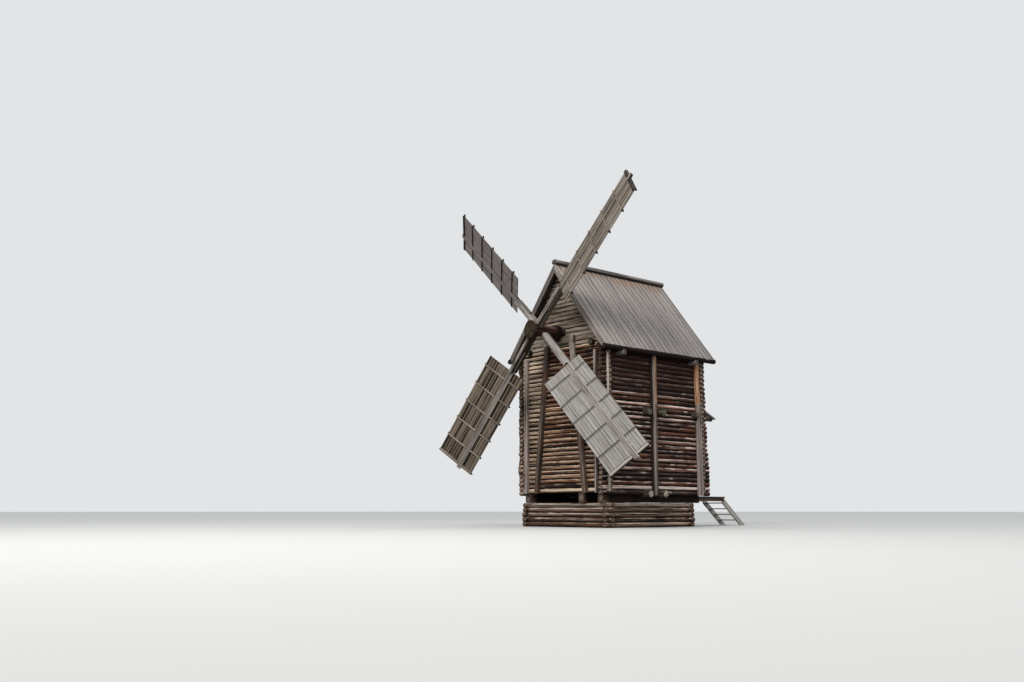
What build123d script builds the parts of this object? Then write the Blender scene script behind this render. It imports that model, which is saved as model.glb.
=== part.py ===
"""Traditional log windmill: a boarded-sail mill whose log body turns on a post above a log crib.

Millimetres. The origin is at ground level on the axis of the post, +Z is up,
the sails are at -Y and the entrance is at +Y. What turns on the post is drawn
about the middle of the body, and is moved to its place when it is saved.
"""
from build123d import *
from math import asin, atan2, ceil, cos, radians, sin, sqrt, tan
import os

os.makedirs("parts", exist_ok=True)

# Logs of the walls
COURSE = 165              # height of one course
LOG_DIAMETER = 200
LOG_FACES = 3             # hewn faces that round off the outer side of each log
WALL_THICKNESS = 180      # from the outer crest of a log to its hewn inner face

# Body
BODY_BOTTOM = 1210        # ground to the underside of the front sill log
BODY_WIDTH = 4600         # over the outer faces of the side walls
BODY_LENGTH = 5200        # over the outer faces of the front and rear walls
POST_FORWARD = 260        # post axis in front of the middle of the body
WALL_COURSES = 32
CROSS_LOG_OVERHANG = 40   # log ends past the side walls
FRONT_LOG_OVERHANG = 250  # log ends of the right wall past the front wall
LEFT_LOG_OVERHANG = 60    # log ends of the left wall past the front wall
REAR_LOG_OVERHANG = 170   # log ends of the side walls past the rear wall

# Roof
ROOF_PITCH = 52           # degrees
EAVE_OVERHANG = 310       # lower end of the boards past the side wall
EAVE_DROP = 220           # top of the wall down to the top of the boards at the eave
ROOF_THICKNESS = 50
ROOF_FRONT = 314          # roof edge past the front wall
ROOF_REAR = 408           # roof edge past the rear wall
BARGE_WIDTH = 200
BARGE_THICKNESS = 40
RIDGE_CAP_DIAMETER = 260
RIDGE_CAP_RISE = 30       # centre of the cap above the ridge of the boards
EAVE_LOG_DIAMETER = 180
EAVE_LOG_PAST_WALL = 230
EAVE_LOG_DROP = 40        # centre of the eave log below the eave
EAVE_LOG_PAST_ROOF = 38
PURLIN_DIAMETER = 150
PURLIN_SEAT = 10          # depth of the flat on which the boards lie
PURLIN_SPACING = 850      # from the ridge purlin to the next and on
PURLIN_ROWS = 2
BUTT_GAP = 3              # between the two boards that meet at the ridge

# Beams through the walls; heights are above the body underside
BEAM_FACES = 12           # hewn faces round a beam
UNDER_BEAM_DIAMETER = 270
UNDER_BEAM_SPACING = 400  # either side of the post
UNDER_BEAM_HEIGHT = -30
CROWN_BEAM_DIAMETER = 280
CROWN_BEAM_SPACING = 390
CROWN_BEAM_HEIGHT = 2900
CROSS_BEAM_DIAMETER = 200
CROSS_BEAM_INSET = 590    # from the outer face of the rear wall
TIE_BEAM_DIAMETER = 180
TIE_BEAM_FRONT_INSET = 600
TIE_BEAM_REAR_INSET = 700
TIE_BEAM_DROP = 140       # centre of a tie beam below that of the eave logs
TIE_BEAM_OVERHANG = 330
BEAM_OVERHANG = 220       # beam ends past the side walls
LONG_BEAM_DIAMETER = 220
LONG_BEAM_INSET = 630     # from the outer face of the side wall
LONG_BEAM_RISE = 10       # centre above the top of the wall
LONG_BEAM_OVERHANG = 160

# Base
CRIB_COURSES = 5
CRIB_COURSE = 172
CRIB_LOG_DIAMETER = 205
CRIB_INSET = 100          # outer log faces inside those of the side walls
CRIB_OVERHANG = 110
POST_DIAMETER = 480
PINTLE_DIAMETER = 240
PINTLE_HEIGHT = 200
TURN_CLEARANCE = 0.4      # round the pintle and on its shoulder
CLAMP_LOG_DIAMETER = 200
RUNNING_GAP = 10          # mill timbers above the crib

# Floor
FLOOR_THICKNESS = 50
FLOOR_HOLE_GAP = 30

# Crown block on the post
CROWN_BLOCK_HEIGHT = 300
CROWN_BEAM_SEAT = 20      # depth of the seats of the crown beams in the block
CROWN_BLOCK_WIDTH = 600

# Bearers under the body
BEARER_WIDTH = 260
BEARER_PAST_WALL = -40
LONG_BEARER_INSET = 400   # from the outer face of the side wall
SHORT_BEARER_PLACE = 950

# Upright timbers on the walls
CLAMP_WIDTH = 230
FRONT_CLAMP_WIDTH = 150
CLAMP_THICKNESS = 120
FRONT_CLAMP_INSET = 450
REAR_CLAMP_INSET = 350
CLAMP_TOP_DROP = 60       # top of the uprights below the eave
LEG_WIDTH = 170
LEG_THICKNESS = 150
LEG_TOP_OFFSET = 650
LEG_FOOT_OFFSET = 1270
CORNER_PLANK_THICKNESS = 35
CORNER_PLANK_WIDTH = 130
CORNER_PLANK_FRONT = 55   # past the front wall
CORNER_PLANK_FOOT = 30
CORNER_PLANK_DROP = 220   # top below the eave

# Doorway and entrance
DOOR_LEFT = 400
DOOR_WIDTH = 900
DOOR_SILL_COURSES = 1
DOOR_COURSES = 11
DECK_PAST_DOOR = 200      # deck edge past each side of the doorway
DECK_THICKNESS = 45
DECK_LENGTH = 2250
DECK_DROP = 80            # deck surface below the body underside
PORCH_BEAM_WIDTH = 160
PORCH_BEAM_DEPTH = 260
PORCH_BEAM_INSET = 70
STAIR_RUN = 1400
STAIR_RISES = 5
STAIR_INSET = 145         # stair side inside the deck edge
STRINGER_THICKNESS = 55
STRINGER_DEPTH = 200
TREAD_THICKNESS = 40
TREAD_DEPTH = 240
GROUND_GAP = 8            # the stair foot stays off the ground when the mill turns
HOOD_PAST_DOOR = 300      # hood edge past each side of the doorway
HOOD_REACH = 1660
HOOD_TOP = 3700
HOOD_DROP = 730
HOOD_THICKNESS = 40
BRACKET_SIZE = 110

# Windshaft
SHAFT_RISE = 527          # axis above the top of the wall
SHAFT_DIAMETER = 430
HEAD_DIAMETER = 650
HEAD_THICKNESS = 110
SHAFT_OVERHANG = 1505     # front face of the head in front of the front wall
SHAFT_LENGTH = 5605
COLLAR_DIAMETER = 560
COLLAR_THICKNESS = 190
COLLAR_GAP = 20           # collar in front of the neck beam
JOURNAL_DIAMETER = 200
JOURNAL_LENGTH = 420
SHAFT_CLEARANCE = 0.5     # in its seats
SHAFT_HOLE_GAP = 30
NECK_BEAM_HEIGHT = 260
NECK_BEAM_LENGTH = 1560
NECK_SEAT_DEPTH = 60
TAIL_BEAM_WIDTH = 260
TAIL_SEAT_DEPTH = 50

# Sails
STOCK_WIDTH = 160
STOCK_DEPTH = 300
STOCK_INSETS = (284, 603)       # front and rear stock behind the front face of the head
STOCK_REACH = 1900
WHIP_ROOT = 950                 # the whip starts here, in a slot in the stock
SAIL_ANGLES = (43.8, -46.2, -133.2, 136.3)  # degrees from +X towards +Z
SAIL_PITCHES = (25.0, 25.1, 26.2, 29.2)     # turn of each sail about its whip
WHIP_ROOT_WIDTH = 220
WHIP_TIP_WIDTH = 170
WHIP_THICKNESS = 120
WHIP_TIP = 6577
WHIP_OFFSET = 36
SAIL_ROOT = 1901
SAIL_TIP = 6476
WIDE_SIDE = 1036
NARROW_SIDE = 578
BOARD_THICKNESS = 22
BAR_SIZE = 50
BAR_COUNT = 6
BAR_BEHIND = 20           # middle of a bar behind that of the whip
BAR_PAST_BOARDS = 40
BATTEN_WIDTH = 45         # nailed over the boards in front of each bar
BATTEN_THICKNESS = 35

# Values worked out from the driving sizes
LOG_RADIUS = LOG_DIAMETER / 2
HALF_WIDTH = BODY_WIDTH / 2
HALF_LENGTH = BODY_LENGTH / 2
SIDE_BOTTOM = BODY_BOTTOM - COURSE / 2
WALL_TOP = BODY_BOTTOM + WALL_COURSES * COURSE
EAVE_TOP = WALL_TOP - EAVE_DROP
EAVE_REACH = HALF_WIDTH + EAVE_OVERHANG
EAVE_LOG_OFFSET = HALF_WIDTH + EAVE_LOG_PAST_WALL
EAVE_LOG_Z = EAVE_TOP - EAVE_LOG_DROP
TIE_BEAM_Z = EAVE_LOG_Z - TIE_BEAM_DROP
INNER_X = HALF_WIDTH - WALL_THICKNESS
INNER_Y = HALF_LENGTH - WALL_THICKNESS
SLOPE = tan(radians(ROOF_PITCH))
ROOF_DROP = ROOF_THICKNESS / cos(radians(ROOF_PITCH))
ROOF_APEX = EAVE_TOP + SLOPE * EAVE_REACH
UNDER_APEX = ROOF_APEX - ROOF_DROP
ROOF_START = -HALF_LENGTH - ROOF_FRONT
ROOF_END = HALF_LENGTH + ROOF_REAR
BOARDS_START = ROOF_START + BARGE_THICKNESS
BOARDS_END = ROOF_END - BARGE_THICKNESS
CRIB_TOP = CRIB_COURSES * CRIB_COURSE
CRIB_HALF = HALF_WIDTH - CRIB_INSET
AXIS_HEIGHT = WALL_TOP + SHAFT_RISE
SHAFT_FRONT = -HALF_LENGTH - SHAFT_OVERHANG
SHAFT_TAIL = SHAFT_FRONT + SHAFT_LENGTH
UNDER_BEAM_Z = BODY_BOTTOM + UNDER_BEAM_HEIGHT
FLOOR_UNDERSIDE = UNDER_BEAM_Z + UNDER_BEAM_DIAMETER / 2
CROWN_BEAM_Z = BODY_BOTTOM + CROWN_BEAM_HEIGHT
CROWN_BLOCK_TOP = CROWN_BEAM_Z - CROWN_BEAM_DIAMETER / 2 + CROWN_BEAM_SEAT
CROWN_BLOCK_BOTTOM = CROWN_BLOCK_TOP - CROWN_BLOCK_HEIGHT
POST_SHOULDER = CROWN_BLOCK_BOTTOM - TURN_CLEARANCE
LONG_BEAM_Z = WALL_TOP + LONG_BEAM_RISE
LONG_BEAM_OFFSET = HALF_WIDTH - LONG_BEAM_INSET
DOOR_BOTTOM = BODY_BOTTOM + DOOR_SILL_COURSES * COURSE
DOOR_TOP = DOOR_BOTTOM + DOOR_COURSES * COURSE
DOOR_RIGHT = DOOR_LEFT + DOOR_WIDTH
DECK_TOP = BODY_BOTTOM - DECK_DROP
DECK_LEFT = DOOR_LEFT - DECK_PAST_DOOR
DECK_RIGHT = DOOR_RIGHT + DECK_PAST_DOOR
HOOD_LEFT = DOOR_LEFT - HOOD_PAST_DOOR
HOOD_WIDTH = DOOR_WIDTH + 2 * HOOD_PAST_DOOR


def save(name, shape):
    export_step(shape, f"parts/{name}.step")


def save_on_body(name, shape):
    """Save what turns on the post, moved back from it."""
    pieces = [Pos(0, POST_FORWARD, 0) * solid for solid in shape.solids()]
    save(name, pieces[0] if len(pieces) == 1 else Compound(children=pieces))


def solids(*pieces):
    """Separate pieces of one kind kept together."""
    return Compound(children=[solid for piece in pieces for solid in piece.solids()])


def log_stack(course, diameter, thickness, bottom, courses):
    """Section of a stack of logs, hewn flat on the inner side: x is depth, y is height."""
    radius = diameter / 2
    half_turn = asin(course / diameter)
    turns = [half_turn * (2 * corner / LOG_FACES - 1) for corner in range(LOG_FACES)]
    crest = radius * max(cos(turn) for turn in turns)
    points = []
    for number in range(courses):
        middle = bottom + (number + 0.5) * course
        points += [(crest - radius * cos(turn), middle + radius * sin(turn)) for turn in turns]
    top = bottom + courses * course
    points += [(points[0][0], top), (thickness, top), (thickness, bottom)]
    return make_face(Polyline(*points, close=True))


def stack_between(side, start, end, half, section):
    """Stand a log section on the side that it names, from start to end along the wall."""
    planes = {
        "front": Plane(origin=(start, -half, 0), x_dir=(0, 1, 0), z_dir=(1, 0, 0)),
        "rear": Plane(origin=(end, half, 0), x_dir=(0, -1, 0), z_dir=(-1, 0, 0)),
        "right": Plane(origin=(half, start, 0), x_dir=(-1, 0, 0), z_dir=(0, 1, 0)),
        "left": Plane(origin=(-half, end, 0), x_dir=(1, 0, 0), z_dir=(0, -1, 0)),
    }
    return extrude(planes[side] * section, end - start)


def wall_section(bottom, courses):
    return log_stack(COURSE, LOG_DIAMETER, WALL_THICKNESS, bottom, courses)


def log_along_x(place, height, diameter, half_length):
    section = Plane(origin=(-half_length, place, height), x_dir=(0, 1, 0), z_dir=(1, 0, 0))
    return extrude(section * RegularPolygon(diameter / 2, BEAM_FACES), 2 * half_length)


def log_along_y(offset, height, diameter, start, end):
    section = Plane(origin=(offset, start, height), x_dir=(1, 0, 0), z_dir=(0, -1, 0))
    return extrude(section * RegularPolygon(diameter / 2, BEAM_FACES), start - end)


def round_along_y(height, diameter, start, end):
    return Pos(0, (start + end) / 2, height) * Rot(90, 0, 0) * Cylinder(diameter / 2, end - start)


def block(x_low, x_high, y_low, y_high, z_low, z_high):
    size = Box(x_high - x_low, y_high - y_low, z_high - z_low)
    return Pos((x_low + x_high) / 2, (y_low + y_high) / 2, (z_low + z_high) / 2) * size


def roof_height(offset):
    """Underside of the roof boards at a distance from the middle plane."""
    return UNDER_APEX - SLOPE * abs(offset)


def under_roof():
    """Everything below the roof boards."""
    reach = BODY_WIDTH
    outline = Polyline((-reach, roof_height(reach)), (0, UNDER_APEX), (reach, roof_height(reach)),
                       (reach, -BODY_WIDTH), (-reach, -BODY_WIDTH), close=True)
    section = Plane(origin=(0, -2 * BODY_LENGTH, 0), x_dir=(1, 0, 0), z_dir=(0, -1, 0)) * make_face(outline)
    return extrude(section, -4 * BODY_LENGTH)


# Base

def make_crib():
    section = log_stack(CRIB_COURSE, CRIB_LOG_DIAMETER, WALL_THICKNESS, 0, CRIB_COURSES)
    cross_reach = CRIB_HALF + CRIB_OVERHANG
    inner = CRIB_HALF - WALL_THICKNESS
    for side in ("front", "rear"):
        save(f"crib_{side}", stack_between(side, -cross_reach, cross_reach, CRIB_HALF, section))
    for side in ("left", "right"):
        pieces = [stack_between(side, low, high, CRIB_HALF, section)
                  for low, high in ((-cross_reach, -CRIB_HALF), (-inner, inner), (CRIB_HALF, cross_reach))]
        save(f"crib_{side}", solids(*pieces))
    return inner


def make_post(crib_inner):
    post = Pos(0, 0, POST_SHOULDER / 2) * Cylinder(POST_DIAMETER / 2, POST_SHOULDER)
    pintle = Cylinder(PINTLE_DIAMETER / 2, PINTLE_HEIGHT, align=(Align.CENTER, Align.CENTER, Align.MIN))
    save("main_post", post + Pos(0, 0, POST_SHOULDER) * pintle)
    place = (POST_DIAMETER + CLAMP_LOG_DIAMETER) / 2
    height = CRIB_TOP - CLAMP_LOG_DIAMETER / 2
    clamps = [log_along_x(side * place, height, CLAMP_LOG_DIAMETER, crib_inner) for side in (-1, 1)]
    save("post_clamp_logs", solids(*clamps))


# Beams of the body

def make_beams():
    reach = HALF_WIDTH + BEAM_OVERHANG
    under = [log_along_x(side * UNDER_BEAM_SPACING - POST_FORWARD, UNDER_BEAM_Z, UNDER_BEAM_DIAMETER, reach)
             for side in (-1, 1)]
    crown = [log_along_x(side * CROWN_BEAM_SPACING - POST_FORWARD, CROWN_BEAM_Z, CROWN_BEAM_DIAMETER, reach)
             for side in (-1, 1)]
    cross = [log_along_x(HALF_LENGTH - CROSS_BEAM_INSET, CROWN_BEAM_Z, CROSS_BEAM_DIAMETER, reach)]
    ties = [log_along_x(place, TIE_BEAM_Z, TIE_BEAM_DIAMETER, HALF_WIDTH + TIE_BEAM_OVERHANG)
            for place in (TIE_BEAM_FRONT_INSET - HALF_LENGTH, HALF_LENGTH - TIE_BEAM_REAR_INSET)]
    overhang = HALF_LENGTH + LONG_BEAM_OVERHANG
    long_beams = [log_along_y(side * LONG_BEAM_OFFSET, LONG_BEAM_Z, LONG_BEAM_DIAMETER, -overhang, overhang)
                  for side in (-1, 1)]
    return under, crown, cross, ties, long_beams


def eave_logs(roof):
    start = ROOF_START - EAVE_LOG_PAST_ROOF
    end = ROOF_END + EAVE_LOG_PAST_ROOF
    logs = [log_along_y(side * EAVE_LOG_OFFSET, EAVE_LOG_Z, EAVE_LOG_DIAMETER, start, end)
            for side in (-1, 1)]
    return [log - roof for log in logs]


def ridge_purlin_height():
    return UNDER_APEX - (PURLIN_DIAMETER / 2 - PURLIN_SEAT) / cos(radians(ROOF_PITCH))


def purlin_logs(below):
    radius = PURLIN_DIAMETER / 2
    logs = []
    for row in range(PURLIN_ROWS):
        offset = (row + 1) * PURLIN_SPACING
        height = roof_height(offset) - (radius - PURLIN_SEAT) / cos(radians(ROOF_PITCH))
        logs += [log_along_y(side * offset, height, PURLIN_DIAMETER, BOARDS_START, BOARDS_END) & below
                 for side in (-1, 1)]
    logs.append(log_along_y(0, ridge_purlin_height(), PURLIN_DIAMETER, BOARDS_START, BOARDS_END) & below)
    return logs


# Walls and gables

def make_walls(below, through):
    front_reach = HALF_WIDTH + CROSS_LOG_OVERHANG
    rear_reach = HALF_LENGTH + REAR_LOG_OVERHANG
    section = wall_section(BODY_BOTTOM, WALL_COURSES)
    front = stack_between("front", -front_reach, front_reach, HALF_LENGTH, section) & below
    save_on_body("front_wall", front - through)

    rear = stack_between("rear", -front_reach, front_reach, HALF_LENGTH, section) & below
    rear = rear - through
    high = WALL_TOP + COURSE
    save_on_body("rear_wall_sill", rear & block(-front_reach, front_reach, 0, BODY_LENGTH, 0, DOOR_BOTTOM))
    save_on_body("rear_wall_left", rear & block(-front_reach, DOOR_LEFT, 0, BODY_LENGTH, DOOR_BOTTOM, high))
    save_on_body("rear_wall_right", rear & block(DOOR_RIGHT, front_reach, 0, BODY_LENGTH, DOOR_BOTTOM, high))
    save_on_body("rear_wall_over_door", rear & block(DOOR_LEFT, DOOR_RIGHT, 0, BODY_LENGTH, DOOR_TOP, high))

    side_section = wall_section(SIDE_BOTTOM, WALL_COURSES)
    for side, overhang in (("left", LEFT_LOG_OVERHANG), ("right", FRONT_LOG_OVERHANG)):
        pieces = [stack_between(side, low, high_end, HALF_WIDTH, side_section) & below
                  for low, high_end in ((-HALF_LENGTH - overhang, -HALF_LENGTH), (-INNER_Y, INNER_Y),
                                        (HALF_LENGTH, rear_reach))]
        save_on_body(f"{side}_wall", solids(*[piece - through for piece in pieces]))


def make_gables(below, through):
    courses = ceil((UNDER_APEX - WALL_TOP) / COURSE)
    section = wall_section(WALL_TOP, courses)
    hole = round_along_y(AXIS_HEIGHT, SHAFT_DIAMETER + 2 * SHAFT_HOLE_GAP, -BODY_LENGTH, 0)
    front = stack_between("front", -HALF_WIDTH, HALF_WIDTH, HALF_LENGTH, section) & below
    rear = stack_between("rear", -HALF_WIDTH, HALF_WIDTH, HALF_LENGTH, section) & below
    tip = block(-HALF_WIDTH, HALF_WIDTH, -BODY_LENGTH, BODY_LENGTH, ridge_purlin_height(), ROOF_APEX)
    save_on_body("front_gable", front - tip - through - hole)
    save_on_body("rear_gable", rear - tip - through)


# Roof

def roof_slope(side):
    """Boards of one slope, from the ridge to the eave."""
    reach = EAVE_REACH
    end_shift = ROOF_THICKNESS * sin(radians(ROOF_PITCH))
    top_end = (side * reach, ROOF_APEX - SLOPE * reach)
    under_end = (side * (reach - end_shift), roof_height(reach - end_shift))
    outline = Polyline((0, ROOF_APEX), top_end, under_end, (0, UNDER_APEX), close=True)
    section = Plane(origin=(0, BOARDS_START, 0), x_dir=(1, 0, 0), z_dir=(0, -1, 0)) * make_face(outline)
    return extrude(section, -(BOARDS_END - BOARDS_START))


def barge_board(side, start, end):
    """Board that covers the ends of the roof boards on one slope of a gable."""
    drop = BARGE_WIDTH / cos(radians(ROOF_PITCH))
    inner = side * BUTT_GAP / 2
    inner_top = ROOF_APEX - SLOPE * BUTT_GAP / 2
    reach = EAVE_REACH
    end_shift = BARGE_WIDTH * sin(radians(ROOF_PITCH))
    outline = Polyline((inner, inner_top), (side * reach, ROOF_APEX - SLOPE * reach),
                       (side * (reach - end_shift), ROOF_APEX - drop - SLOPE * (reach - end_shift)),
                       (inner, inner_top - drop), close=True)
    section = Plane(origin=(0, start, 0), x_dir=(1, 0, 0), z_dir=(0, -1, 0)) * make_face(outline)
    return extrude(section, -(end - start))


def make_roof(below, roof, eaves, purlins):
    save_on_body("roof_left", roof[0])
    save_on_body("roof_right", roof[1])
    save_on_body("eave_logs", solids(*eaves))
    save_on_body("purlins", solids(*purlins))
    barges = [barge_board(side, start, end) - eaves
              for start, end in ((ROOF_START, BOARDS_START), (BOARDS_END, ROOF_END)) for side in (-1, 1)]
    save_on_body("barge_boards", solids(*barges))
    above = Pos(0, 0, ROOF_DROP) * below
    cap = log_along_y(0, ROOF_APEX + RIDGE_CAP_RISE, RIDGE_CAP_DIAMETER, ROOF_START, ROOF_END)
    save_on_body("ridge_cap", cap - above)


# Floor, crown and bearers

def make_floor_and_crown(under, crown):
    hole = Pos(0, -POST_FORWARD, 0) * Cylinder(POST_DIAMETER / 2 + FLOOR_HOLE_GAP, FLOOR_UNDERSIDE * 4)
    floor = block(-INNER_X, INNER_X, -INNER_Y, INNER_Y, FLOOR_UNDERSIDE, FLOOR_UNDERSIDE + FLOOR_THICKNESS)
    save_on_body("floor_boards", floor - hole)
    save_on_body("under_beams", solids(*under))
    save_on_body("crown_beams", solids(*crown))
    half = CROWN_BLOCK_WIDTH / 2
    reach = CROWN_BEAM_SPACING + CROWN_BEAM_DIAMETER / 2
    crown_block = block(-half, half, -reach - POST_FORWARD, reach - POST_FORWARD, CROWN_BLOCK_BOTTOM,
                        CROWN_BLOCK_TOP) - crown
    socket_depth = PINTLE_HEIGHT + TURN_CLEARANCE
    socket = Pos(0, -POST_FORWARD, CROWN_BLOCK_BOTTOM) * Cylinder(
        PINTLE_DIAMETER / 2 + TURN_CLEARANCE, socket_depth, align=(Align.CENTER, Align.CENTER, Align.MIN))
    save_on_body("crown_block", crown_block - socket)


def make_bearers(under):
    low = CRIB_TOP + RUNNING_GAP
    front = -HALF_LENGTH - BEARER_PAST_WALL
    half = BEARER_WIDTH / 2
    offset = HALF_WIDTH - LONG_BEARER_INSET
    bearers = [block(place - half, place + half, front, -front, low, BODY_BOTTOM)
               for place in (-offset, offset)]
    short_end = -UNDER_BEAM_SPACING - POST_FORWARD
    bearers.append(block(SHORT_BEARER_PLACE - half, SHORT_BEARER_PLACE + half, front, short_end, low,
                         BODY_BOTTOM))
    save_on_body("bearer_beams", solids(*[bearer - under for bearer in bearers]))


# Upright timbers

def make_uprights(eaves):
    half = FRONT_CLAMP_WIDTH / 2
    offset = HALF_WIDTH - FRONT_CLAMP_INSET
    top = EAVE_TOP - CLAMP_TOP_DROP
    front = [block(side * offset - half, side * offset + half, -HALF_LENGTH - CLAMP_THICKNESS, -HALF_LENGTH,
                   BODY_BOTTOM, top) for side in (-1, 1)]
    save_on_body("front_clamps", solids(*front))
    half = CLAMP_WIDTH / 2
    for name, side in (("left", -1), ("right", 1)):
        near = side * HALF_WIDTH
        far = side * (HALF_WIDTH + CLAMP_THICKNESS)
        clamps = [block(min(near, far), max(near, far), place - half, place + half, SIDE_BOTTOM, top)
                  for place in (-POST_FORWARD, HALF_LENGTH - REAR_CLAMP_INSET)]
        save_on_body(f"side_clamps_{name}", solids(*[clamp - eaves for clamp in clamps]))
    near = HALF_WIDTH + CROSS_LOG_OVERHANG
    start = -HALF_LENGTH - CORNER_PLANK_FRONT
    plank = block(near, near + CORNER_PLANK_THICKNESS, start, start + CORNER_PLANK_WIDTH,
                  BODY_BOTTOM + CORNER_PLANK_FOOT, EAVE_TOP - CORNER_PLANK_DROP)
    save_on_body("corner_plank", plank - eaves)


def leg(side, foot, head):
    """One sloping leg in front of the front wall, from foot height to head height."""
    half = LEG_WIDTH / 2
    outline = Polyline((side * LEG_FOOT_OFFSET - half, foot), (side * LEG_FOOT_OFFSET + half, foot),
                       (side * LEG_TOP_OFFSET + half, head), (side * LEG_TOP_OFFSET - half, head), close=True)
    section = Plane(origin=(0, -HALF_LENGTH, 0), x_dir=(1, 0, 0), z_dir=(0, -1, 0)) * make_face(outline)
    return extrude(section, LEG_THICKNESS)


def make_shaft_supports(long_beams):
    neck_top = AXIS_HEIGHT - SHAFT_DIAMETER / 2 + NECK_SEAT_DEPTH
    neck_bottom = neck_top - NECK_BEAM_HEIGHT
    seat = round_along_y(AXIS_HEIGHT, SHAFT_DIAMETER + 2 * SHAFT_CLEARANCE, -BODY_LENGTH, 0)
    half = NECK_BEAM_LENGTH / 2
    neck = block(-half, half, -HALF_LENGTH - LEG_THICKNESS, -HALF_LENGTH, neck_bottom, neck_top)
    save_on_body("neck_beam", neck - seat)
    save_on_body("front_legs", solids(*[leg(side, BODY_BOTTOM, neck_bottom) for side in (-1, 1)]))
    save_on_body("long_beams", solids(*long_beams))

    tail_top = AXIS_HEIGHT - JOURNAL_DIAMETER / 2 + TAIL_SEAT_DEPTH
    tail_middle = SHAFT_TAIL - JOURNAL_LENGTH / 2
    reach = LONG_BEAM_OFFSET + LONG_BEAM_DIAMETER / 2
    tail = block(-reach, reach, tail_middle - TAIL_BEAM_WIDTH / 2, tail_middle + TAIL_BEAM_WIDTH / 2,
                 LONG_BEAM_Z, tail_top)
    journal = round_along_y(AXIS_HEIGHT, JOURNAL_DIAMETER + 2 * SHAFT_CLEARANCE, 0, BODY_LENGTH)
    save_on_body("tail_beam", tail - journal - long_beams)


# Entrance at the rear

def make_entrance():
    deck_end = HALF_LENGTH + DECK_LENGTH
    beam_bottom = BODY_BOTTOM - PORCH_BEAM_DEPTH
    inner_end = UNDER_BEAM_SPACING + UNDER_BEAM_DIAMETER / 2 - POST_FORWARD
    lefts = (DECK_LEFT + PORCH_BEAM_INSET, DECK_RIGHT - PORCH_BEAM_INSET - PORCH_BEAM_WIDTH)
    notch = block(0, 2 * DECK_RIGHT, HALF_LENGTH, 2 * deck_end, DECK_TOP - DECK_THICKNESS, BODY_BOTTOM)
    beams = [block(left, left + PORCH_BEAM_WIDTH, inner_end, deck_end, beam_bottom, BODY_BOTTOM) - notch
             for left in lefts]
    save_on_body("porch_beams", solids(*beams))
    deck = block(DECK_LEFT, DECK_RIGHT, HALF_LENGTH, deck_end, DECK_TOP - DECK_THICKNESS, DECK_TOP)
    save_on_body("porch_deck", deck)
    make_stair(deck_end)

    hood_angle = atan2(HOOD_DROP, HOOD_REACH)
    top = BODY_BOTTOM + HOOD_TOP
    lip = top - HOOD_DROP
    drop = HOOD_THICKNESS / cos(hood_angle)
    outline = Polyline((HALF_LENGTH, top), (HALF_LENGTH + HOOD_REACH, lip),
                       (HALF_LENGTH + HOOD_REACH, lip - drop), (HALF_LENGTH, top - drop), close=True)
    hood_plane = Plane(origin=(HOOD_LEFT, 0, 0), x_dir=(0, 1, 0), z_dir=(1, 0, 0))
    save_on_body("hood_roof", extrude(hood_plane * make_face(outline), HOOD_WIDTH))

    fall = tan(hood_angle)
    beam_reach = HOOD_REACH - BRACKET_SIZE
    seat = lip - drop + fall * (HOOD_REACH - beam_reach)
    outline = Polyline((HALF_LENGTH, top - drop), (HALF_LENGTH + beam_reach, seat),
                       (HALF_LENGTH + beam_reach, seat - BRACKET_SIZE),
                       (HALF_LENGTH, seat - BRACKET_SIZE),
                       (HALF_LENGTH, seat), (HALF_LENGTH + beam_reach - BRACKET_SIZE / fall, seat),
                       (HALF_LENGTH, top - drop - BRACKET_SIZE), close=True)
    bracket = extrude(hood_plane * make_face(outline), BRACKET_SIZE)
    save_on_body("hood_brackets", solids(Pos(BRACKET_SIZE, 0, 0) * bracket,
                                 Pos(HOOD_WIDTH - 2 * BRACKET_SIZE, 0, 0) * bracket))


def make_stair(start):
    rise = DECK_TOP / STAIR_RISES
    slope = (DECK_TOP - GROUND_GAP) / STAIR_RUN
    stretch = STRINGER_DEPTH * sqrt(1 + slope**2)
    foot = stretch / slope
    outline = Polyline((start, DECK_TOP), (start + STAIR_RUN, GROUND_GAP),
                       (start + STAIR_RUN - foot, GROUND_GAP), (start, DECK_TOP - stretch), close=True)
    side_plane = Plane(origin=(0, 0, 0), x_dir=(0, 1, 0), z_dir=(1, 0, 0))
    stringer = extrude(side_plane * make_face(outline), STRINGER_THICKNESS)
    left = DECK_LEFT + STAIR_INSET
    right = DECK_RIGHT - STAIR_INSET - STRINGER_THICKNESS
    save_on_body("stair_stringers", solids(Pos(left, 0, 0) * stringer, Pos(right, 0, 0) * stringer))
    treads = []
    for number in range(1, STAIR_RISES):
        height = DECK_TOP - number * rise
        front = start + (DECK_TOP - height) / slope
        treads.append(block(left + STRINGER_THICKNESS, right, front - TREAD_DEPTH, front,
                            height - TREAD_THICKNESS, height))
    save_on_body("stair_treads", solids(*treads))


# Rotor

def sail_plane(number, pitch):
    """Plane of a sail: x runs out along the whip, z faces forward and -y is the wide side."""
    angle = radians(SAIL_ANGLES[number])
    turn = radians(pitch)
    out = (cos(angle), 0, sin(angle))
    forward = (-sin(turn) * sin(angle), -cos(turn), sin(turn) * cos(angle))
    return Plane(origin=(0, SHAFT_FRONT + STOCK_INSETS[number % 2], AXIS_HEIGHT), x_dir=out, z_dir=forward)


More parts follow.
